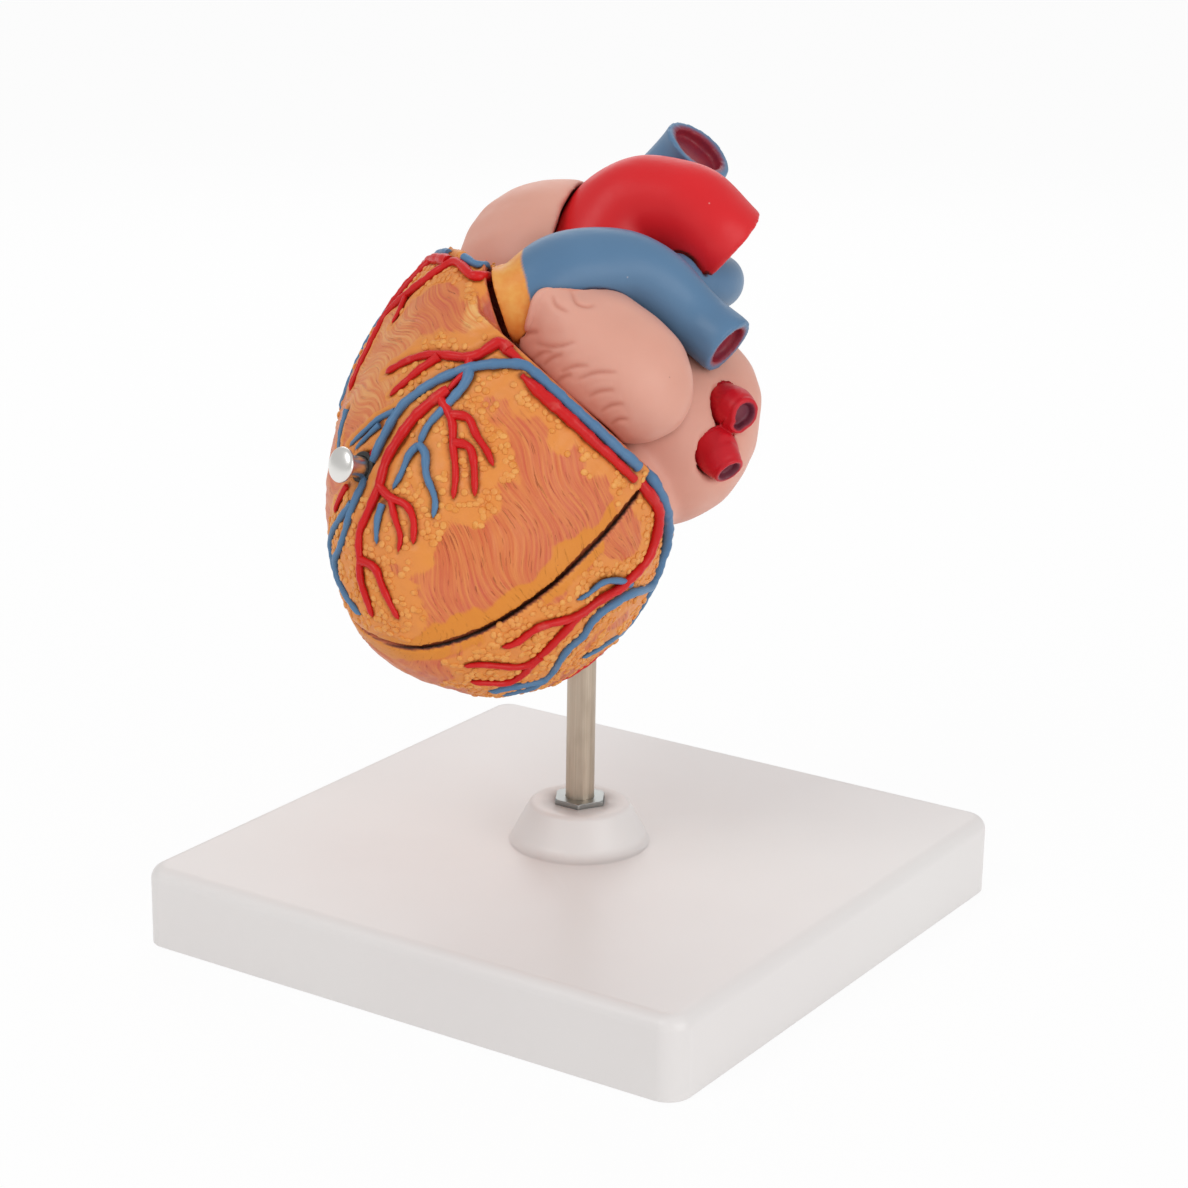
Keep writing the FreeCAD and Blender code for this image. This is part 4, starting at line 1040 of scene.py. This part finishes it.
def nearness(points, nodes, width):
    """1 where points touch one of the nodes, falling off over a width in millimetres."""
    close = np.zeros(len(points))
    for node in nodes:
        guide = merged_copy(node, "guide")
        tree = surface_tree(guide)
        bpy.data.objects.remove(guide)
        for number, point in enumerate(points):
            found = tree.find_nearest(point, 3 * width * MM)
            if found[0] is not None:
                close[number] = max(close[number], math.exp(-((found[3] / MM - 0.2) / width) ** 2))
    return close


# Pieces that get painted shade along their edge against each of these nodes.
NEIGHBOURS = {
    "left_auricle": ("left_atrium",),
    "left_atrium": ("left_auricle", "right_atrium", "back_heart_body"),
    "right_atrium": ("left_atrium", "aorta"),
    "aorta": ("pulmonary_trunk",),
    "pulmonary_trunk": ("aorta", "left_auricle"),
}
# The auricle's upper lobe: its middle on the view plane, how far it swells to the right, up and
# towards the eye, how wide, and how far in front of the trunk it stays, in millimetres.
SWELL_AT = (-5.4, 68.6)
SWELL_BY = (-2.7, 3.7, 1.5)
SWELL_REACH = 6.2
SWELL_CLEAR = 0.9


def swollen(points, mesh):
    """Lets the auricle's upper lobe swell over the pulmonary trunk, in front of it."""
    guide = merged_copy("pulmonary_trunk", "guide")
    tree = surface_tree(guide)
    bpy.data.objects.remove(guide)
    seen = view_plane(points)
    facing = step(-0.5, 0.2, normal_array(mesh) @ np.array(BACK))
    reach = np.hypot(seen[:, 0] - SWELL_AT[0], seen[:, 1] - SWELL_AT[1])
    weight = np.exp(-(reach / SWELL_REACH) ** 2) * facing
    right, up, back = (np.array(v) for v in (RIGHT, UP, BACK))
    swell = right * SWELL_BY[0] + up * SWELL_BY[1] + back * SWELL_BY[2]
    moved = points + (weight * MM)[:, None] * swell
    for number in np.nonzero(weight > 0.08)[0]:
        sight = Vector(moved[number]) - EYE
        way = sight.normalized()
        spot = tree.ray_cast(EYE, way)[0]
        if spot is not None and (spot - EYE).length < sight.length + SWELL_CLEAR * MM:
            moved[number] = spot - way * (SWELL_CLEAR * MM)
    return relaxed(moved, mesh, 14, 1 - step(0.02, 0.2, weight))


def atrium(node, material, voxel=0.0007, folded=False):
    """A soft pink chamber with painted shade where it meets its neighbours; the auricle is folded too."""
    piece = remeshed(merged_copy(node), voxel)
    mesh = piece.data
    points = relaxed(vertex_array(mesh), mesh, 8)
    set_vertices(mesh, points)
    if folded:
        points = swollen(points, mesh)
        set_vertices(mesh, points)
    normals = normal_array(mesh)
    # Painted shade where the chamber meets its neighbours, wider on the left atrium under the overhanging
    # auricle.
    border = nearness(points, NEIGHBOURS[node], 0.45)
    if node == "left_atrium":
        border = np.maximum(border, nearness(points, ("left_auricle",), 1.5))
    move = 0.28 * rumple(points / MM, 17, 31) + 0.07 * rumple(points / MM, 6, 32) - 0.35 * border
    fold = np.zeros(len(points))
    if folded:
        fold, beside = fold_field(points, surface_tree(piece))
        move = move - 0.26 * fold + 0.1 * beside
    set_vertices(mesh, points + normals * (move * MM)[:, None])
    set_attribute(mesh, "fold", fold)
    set_attribute(mesh, "border", border)
    finish_piece(piece, material, BODY_OF[node], "atrium", node)


# Cut ends: middle of the end in the heart frame, a point on the axis inside it, and the bore's radius.
ENDS = {
    "aorta": (((10, -5.3, 75.3), (13.4, -10.1, 74.3), 8.1),),
    "pulmonary_trunk": (
        ((11.1, 16.4, 58.2), (13, 11.6, 57.7), 4.8),
        ((-9, -24, 72.9), (-6, -15.9, 73.2), 4.8),
    ),
    "superior_vena_cava": (((12.4, -30.8, 88), (7.4, -32.8, 78), 6.6),),
    "inferior_vena_cava": (((-26, -25.9, 38.4), (-16, -24.7, 40.8), 6.1),),
    "left_pulmonary_veins": (
        ((1.97, 25.3, 52.6), (1.2, 21.8, 52.2), 2.4),
        ((-4.13, 29.35, 43.15), (-3.2, 25.9, 43.6), 2.4),
    ),
    "right_pulmonary_veins": (
        ((-18.98, -10.48, 53), (-17, -7.6, 52.1), 2.4),
        ((-24.2, -7.98, 40.56), (-21.5, -5.6, 40.7), 2.4),
    ),
}
# Ends that turn towards the eye (or away), in degrees.
TURNED_ENDS = {"superior_vena_cava": 14, "aorta": -13}
END_REACH = 8.0
LUMEN_DEPTH = 2.2
COLLAR_DEPTH = 1.7
COLLARS = ("left_pulmonary_veins", "right_pulmonary_veins")
# How far up from its root the pulmonary trunk is painted ochre.
ROOT_BAND = 7.5


def turned_end(local, end, way, degrees):
    """Turns the last stretch of a vessel about the line square to its own way and the line of sight."""
    axis = np.cross(way, np.array(BACK) @ HEART_TURN)
    axis /= np.linalg.norm(axis)
    hinge = end - way * END_REACH
    away = local - hinge
    share = np.clip((away @ way) / END_REACH, 0, 1) ** 1.5 * (np.linalg.norm(local - end, axis=1) < 18)
    turn = np.radians(degrees * share)[:, None]
    across = np.cross(axis, away)
    along = (away @ axis)[:, None] * axis
    return hinge + away * np.cos(turn) + across * np.sin(turn) + along * (1 - np.cos(turn))


def great_vessel(node, material, slot, rounding=7, voxel=0.00045):
    """A great vessel with thick rims and painted recesses at its cut ends."""
    piece = remeshed(merged_copy(node), voxel)
    mesh = piece.data
    points = relaxed(vertex_array(mesh), mesh, rounding)
    set_vertices(mesh, points)
    normals = normal_array(mesh)
    local = to_heart(points)
    lumen = np.zeros(len(points))
    for end, inner, bore in ENDS.get(node, ()):
        end, inner = np.array(end, float), np.array(inner, float)
        way = (end - inner) / np.linalg.norm(end - inner)
        along = (local - end) @ way
        off = np.linalg.norm(local - end - along[:, None] * way, axis=1)
        floor = COLLAR_DEPTH if node in COLLARS else LUMEN_DEPTH
        inward = step(bore + 0.6, bore + 0.2, off) * step(0.1, -0.25, along)
        lumen = np.maximum(lumen, inward * step(-floor - 0.9, -floor - 0.5, along))
        if node in COLLARS:
            slim = 0.14 * step(0.3, -1.2, along) * (np.abs(along) < 8) * (off < 8)
        else:
            slim = 0.12 * step(bore + 0.55, bore + 0.1, off) * step(-4, -3, along)
        axis_at = end + along[:, None] * way
        drawn = local + (axis_at - local) * slim[:, None]
        points = points + (from_heart(drawn) - from_heart(local))
        if node not in COLLARS:
            local = to_heart(points)
        if node in TURNED_ENDS:
            points = from_heart(turned_end(local, end, way, TURNED_ENDS[node]))
    band = (local - ROOT_AT) @ ROOT_WAY + 0.25 * rumple(points / MM, 5, 41)
    near_root = np.linalg.norm(local - ROOT_AT, axis=1) < 16
    root = step(ROOT_BAND + 0.25, ROOT_BAND - 0.25, band) * near_root * (node == "pulmonary_trunk")
    border = nearness(points, NEIGHBOURS.get(node, ()), 0.3)
    move = 0.2 * rumple(points / MM, 15, 42) * (1 - lumen)
    set_vertices(mesh, points + normals * (move * MM)[:, None])
    set_attribute(mesh, "lumen", lumen)
    set_attribute(mesh, "fold", border)
    # The fold attribute here carries the painted shade against the neighbours.
    set_attribute(mesh, "root", root)
    finish_piece(piece, material, BODY_OF[node], slot, node)


def moulded(node, material, slot, voxel, rounding):
    """A small inner piece with soft edges."""
    piece = remeshed(merged_copy(node), voxel)
    mesh = piece.data
    set_vertices(mesh, relaxed(vertex_array(mesh), mesh, rounding))
    finish_piece(piece, material, BODY_OF[node], slot, node)


def machined(node, material, slot, bevel=0.0):
    """A hard piece: its own edges, softened by a narrow bevel; the pegs end below the skin."""
    piece = merged_copy(node)
    if node == "locating_pegs":
        local = to_heart(vertex_array(piece.data))
        proud = np.clip(PEG_COVER + 0.5 - depth_below_form(local)[0], 0, None)
        local[:, 0] -= proud * (local[:, 0] > SEAM_PLANE + 2)
        set_vertices(piece.data, from_heart(local))
    piece.data.polygons.foreach_set("use_smooth", np.ones(len(piece.data.polygons), dtype=bool))
    piece.data.set_sharp_from_angle(angle=math.radians(32))
    if bevel:
        modifier = piece.modifiers.new("eased_edges", "BEVEL")
        modifier.width = bevel
        modifier.segments = 2
        modifier.limit_method = "ANGLE"
        modifier.angle_limit = math.radians(35)
    weighted = piece.modifiers.new("even_shading", "WEIGHTED_NORMAL")
    weighted.keep_sharp = True
    weighted.weight = 100
    baked(piece)
    finish_piece(piece, material, BODY_OF[node], slot, node, smooth_angle=0)


KNOB_SIDES = 48


def turned_knob(node, material, body, way):
    """A pin with a domed head, turned from the node's own lengths and radii."""
    points = vertex_array(frame["nodes"][node].data)
    middle = points.mean(axis=0)
    along = (points - middle) @ way
    off = points - middle - along[:, None] * way
    off = np.linalg.norm(off - off.mean(axis=0), axis=1)
    head = off.max()
    low = along[off > 0.85 * head].min()
    high = along.max()
    shank = off[along < along.min() + 1e-5].max()
    tall = high - low
    profile = [
        (0, along.min()), (shank * 0.8, along.min()), (shank, along.min() + 0.0004),
        (shank, low - 0.0003), (shank * 1.15, low), (head * 0.9, low),
        (head * 0.985, low + 0.12 * tall), (head, low + 0.26 * tall),
    ]
    for turn in np.radians(np.arange(8, 86, 7.5)):
        profile.append((head * math.cos(turn), low + tall * (0.3 + 0.7 * math.sin(turn))))
    profile.append((0, high))
    side = np.cross(way, (0, 0, 1))
    side /= np.linalg.norm(side)
    other = np.cross(way, side)
    turns = np.arange(KNOB_SIDES) * 2 * math.pi / KNOB_SIDES
    work = bmesh.new()
    rings = []
    for radius, reach in profile:
        if radius < 1e-6:
            rings.append([work.verts.new(middle + way * reach)])
            continue
        hub = middle + way * reach
        spokes = [side * math.cos(turn) + other * math.sin(turn) for turn in turns]
        rings.append([work.verts.new(hub + radius * spoke) for spoke in spokes])
    for first, second in zip(rings, rings[1:]):
        for n in range(KNOB_SIDES):
            m = (n + 1) % KNOB_SIDES
            lower = [first[n % len(first)], first[m % len(first)]]
            upper = [second[m % len(second)], second[n % len(second)]]
            work.faces.new(list(dict.fromkeys(lower + upper)))
    bmesh.ops.recalc_face_normals(work, faces=work.faces)
    mesh = bpy.data.meshes.new(node + "_turned")
    work.to_mesh(mesh)
    work.free()
    piece = bpy.data.objects.new(node + "_turned", mesh)
    bpy.context.scene.collection.objects.link(piece)
    finish_piece(piece, material, body, "pin", node, smooth_angle=40)


# ---------------------------------------------------------------- stage


AMBIENT = 0.62
KEY = 4.2
FILL = 4.6
RIM = 1.6
LIT_POINT = Vector((-0.01, 0, 0.08))
FLOOR_REACH = 8
FLOOR_LEVEL = 0.93


def light(name, place, size, power):
    """A round soft lamp at a place, turned to the heart."""
    lamp = bpy.data.lights.new(name, "AREA")
    lamp.shape = "DISK"
    lamp.size = size
    lamp.energy = power
    holder = bpy.data.objects.new(name, lamp)
    holder.location = place
    holder.rotation_euler = (place - LIT_POINT).to_track_quat("Z", "Y").to_euler()
    bpy.context.scene.collection.objects.link(holder)


def stage():
    """Pale floor, soft light and the camera."""
    floor_mesh = bpy.data.meshes.new("floor")
    corners = [(x * FLOOR_REACH, y * FLOOR_REACH, 0) for x, y in ((-1, -1), (1, -1), (1, 1), (-1, 1))]
    floor_mesh.from_pydata(corners, [], [(0, 1, 2, 3)])
    floor = bpy.data.objects.new("floor", floor_mesh)
    floor.location.z = -0.0002
    bpy.context.scene.collection.objects.link(floor)
    material, graph, shader, _ = new_material("pale_floor")
    feed(graph, shader, Base_Color=(FLOOR_LEVEL, FLOOR_LEVEL, FLOOR_LEVEL, 1), Roughness=0.6)
    path = graph.node("ShaderNodeLightPath", None, None, "Is Camera Ray")
    glossy = Value(graph, path.socket.node.outputs["Is Glossy Ray"])
    white = graph.node("ShaderNodeEmission", None, {"Color": (1, 1, 1, 1), "Strength": 1.0})
    shown = graph.node(
        "ShaderNodeMixShader", None,
        {0: (path + glossy) * FLOOR_LEVEL, 1: Value(graph, shader.outputs[0]), 2: white},
    )
    output = material.node_tree.nodes["Material Output"]
    graph.tree.links.new(shown.socket, output.inputs["Surface"])
    floor_mesh.materials.append(material)

    world = bpy.data.worlds.new("surroundings")
    bpy.context.scene.world = world
    world.use_nodes = True
    sky = Graph(world.node_tree)
    path = sky.node("ShaderNodeLightPath", None, None, "Is Camera Ray")
    shown = world.node_tree.nodes["Background"]
    shown.inputs["Color"].default_value = (1, 1, 1, 1)
    sky.tree.links.new((AMBIENT + (1 - AMBIENT) * path).socket, shown.inputs["Strength"])
    toward = BACK * 0.9
    light("key", toward + Vector((-0.75, -0.25, 0.75)), 0.7, KEY)
    light("fill", toward + RIGHT * 0.9 + Vector((0, 0, 0.1)), 0.9, FILL)
    light("rim", -BACK * 0.8 + Vector((0, 0, 0.8)), 0.8, RIM)

    lens = bpy.data.cameras.new("camera")
    lens.sensor_width = SENSOR
    lens.lens = LENS
    lens.shift_x, lens.shift_y = SHIFT
    lens.clip_start = 0.01
    camera = bpy.data.objects.new("camera", lens)
    right = RIGHT * math.cos(ROLL) + UP * math.sin(ROLL)
    up = UP * math.cos(ROLL) - RIGHT * math.sin(ROLL)
    turn = Matrix((right, up, BACK)).transposed()
    camera.matrix_world = Matrix.Translation(EYE) @ turn.to_4x4()
    bpy.context.scene.collection.objects.link(camera)
    bpy.context.scene.camera = camera
    bpy.context.scene.view_settings.view_transform = "Standard"


# ---------------------------------------------------------------- making


def heart():
    """Both halves with their vessels and fat, the atria, the great vessels and the inner pieces."""
    wall_paint = heart_wall_paint()
    red = vessel_paint("artery_enamel", ARTERY_RED, paint_rgb(186, 20, 24))
    blue = vessel_paint("vein_enamel", VEIN_BLUE, paint_rgb(70, 108, 148), 0.34)
    pearls = lobule_paint()
    halves = (
        ("front_heart_wall", "wall", (WALL_ARTERIES, WALL_FAR_ARTERIES), (WALL_VEINS, WALL_FAR_VEINS)),
        ("back_heart_body", "body", (BODY_ARTERIES, BODY_FAR_ARTERIES), (BODY_VEINS, BODY_FAR_VEINS)),
    )
    for number, (node, word, arteries, veins) in enumerate(halves):
        body = BODY_OF[node]
        guide = merged_copy(node, "guide")
        tree = surface_tree(guide)
        bpy.data.objects.remove(guide)
        red_at, red_girth = vessels(f"{word}_arteries", tree, arteries, ARTERY_RADIUS, red, body, "artery")
        blue_at, blue_girth = vessels(f"{word}_veins", tree, veins, VEIN_RADIUS, blue, body, "vein")
        centres = np.vstack([red_at, blue_at])
        girths = np.concatenate([red_girth, blue_girth])
        skin = sculpt_ventricles(node, body, centres, girths, wall_paint)
        fat_pearls(f"{word}_fat", skin, pearls, body, 7 + number)

    pink = atrium_paint()
    atrium("left_auricle", pink, 0.00036, folded=True)
    atrium("left_atrium", pink)
    atrium("right_atrium", pink)
    arch = great_vessel_paint("aorta_paint", AORTA_RED, paint_rgb(202, 24, 30))
    trunk = great_vessel_paint("blue_vessel_paint", TRUNK_BLUE, paint_rgb(80, 114, 148))
    great_vessel("aorta", arch, "artery")
    great_vessel("pulmonary_trunk", trunk, "vein")
    great_vessel("superior_vena_cava", trunk, "vein")
    great_vessel("inferior_vena_cava", trunk, "vein")
    collar = great_vessel_paint("lung_vein_paint", VEIN_RED, paint_rgb(166, 16, 34), paint_rgb(120, 52, 66))
    great_vessel("left_pulmonary_veins", collar, "lung_vein", 6, 0.0003)
    great_vessel("right_pulmonary_veins", collar, "lung_vein", 6, 0.0003)

    leaflets = plain_paint(
        "valve_paint", paint_rgb(228, 200, 158), paint_rgb(214, 172, 132), 0.4, bump=0.0002,
    )
    for node in ("mitral_valve", "tricuspid_valve", "aortic_valve", "pulmonary_valve"):
        moulded(node, leaflets, "valve", 0.00028, 2)
    papillary = plain_paint(
        "papillary_paint", paint_rgb(178, 74, 54), paint_rgb(206, 112, 84), 0.42, bump=0.0003,
    )
    for node in ("left_papillary_muscles", "right_papillary_muscles"):
        moulded(node, papillary, "papillary", 0.00025, 3)


# Outward along the locking pin.
PIN_WAY = HEART_TURN @ np.array((math.cos(PIN_TILT), 0, -math.sin(PIN_TILT)))


def hardware():
    """The bearing, the pin with its bush and socket, and the pegs."""
    nylon = plain_paint("nylon", paint_rgb(214, 210, 198), paint_rgb(200, 196, 184), 0.45)
    for node in ("rod_sleeve", "pin_socket"):
        machined(node, nylon, "sleeve", 0.0002)
    socket = plain_paint("socket_paint", FAT, ORANGE, 0.4)
    machined("rod_socket", socket, "sleeve", 0.0002)
    steel = plain_paint(
        "peg_steel", paint_rgb(176, 176, 174), paint_rgb(150, 150, 148), 0.3, 900.0, metal=1.0,
    )
    machined("locating_pegs", steel, "peg", 0.0003)
    polished = plain_paint(
        "polished_plate", paint_rgb(238, 236, 232), paint_rgb(222, 220, 216), 0.3, 700.0, 0.00003, 1.0,
    )
    turned_knob("locking_pin", polished, BODY_OF["locking_pin"], PIN_WAY)
    black = plain_paint("black_sleeve", paint_rgb(34, 32, 31), paint_rgb(48, 44, 42), 0.36, 500.0)
    machined("pin_bush", black, "bush", 0.0003)


def stand():
    """The base with its rod, nuts and washer."""
    white = plain_paint(
        "white_moulding", paint_rgb(232, 229, 227), paint_rgb(226, 220, 219), 0.38, 90.0, 0.00001,
    )
    machined("base_plate", white, "base")
    machined("support_rod", drawn_steel(), "rod")
    zinc = plain_paint(
        "zinc_plate", paint_rgb(168, 170, 168), paint_rgb(140, 142, 140), 0.34, 600.0, 0.00004, 1.0,
    )
    for node in ("top_nut", "washer", "lower_nut"):
        machined(node, zinc, "fastener", 0.0002)


stage()
heart()
hardware()
stand()
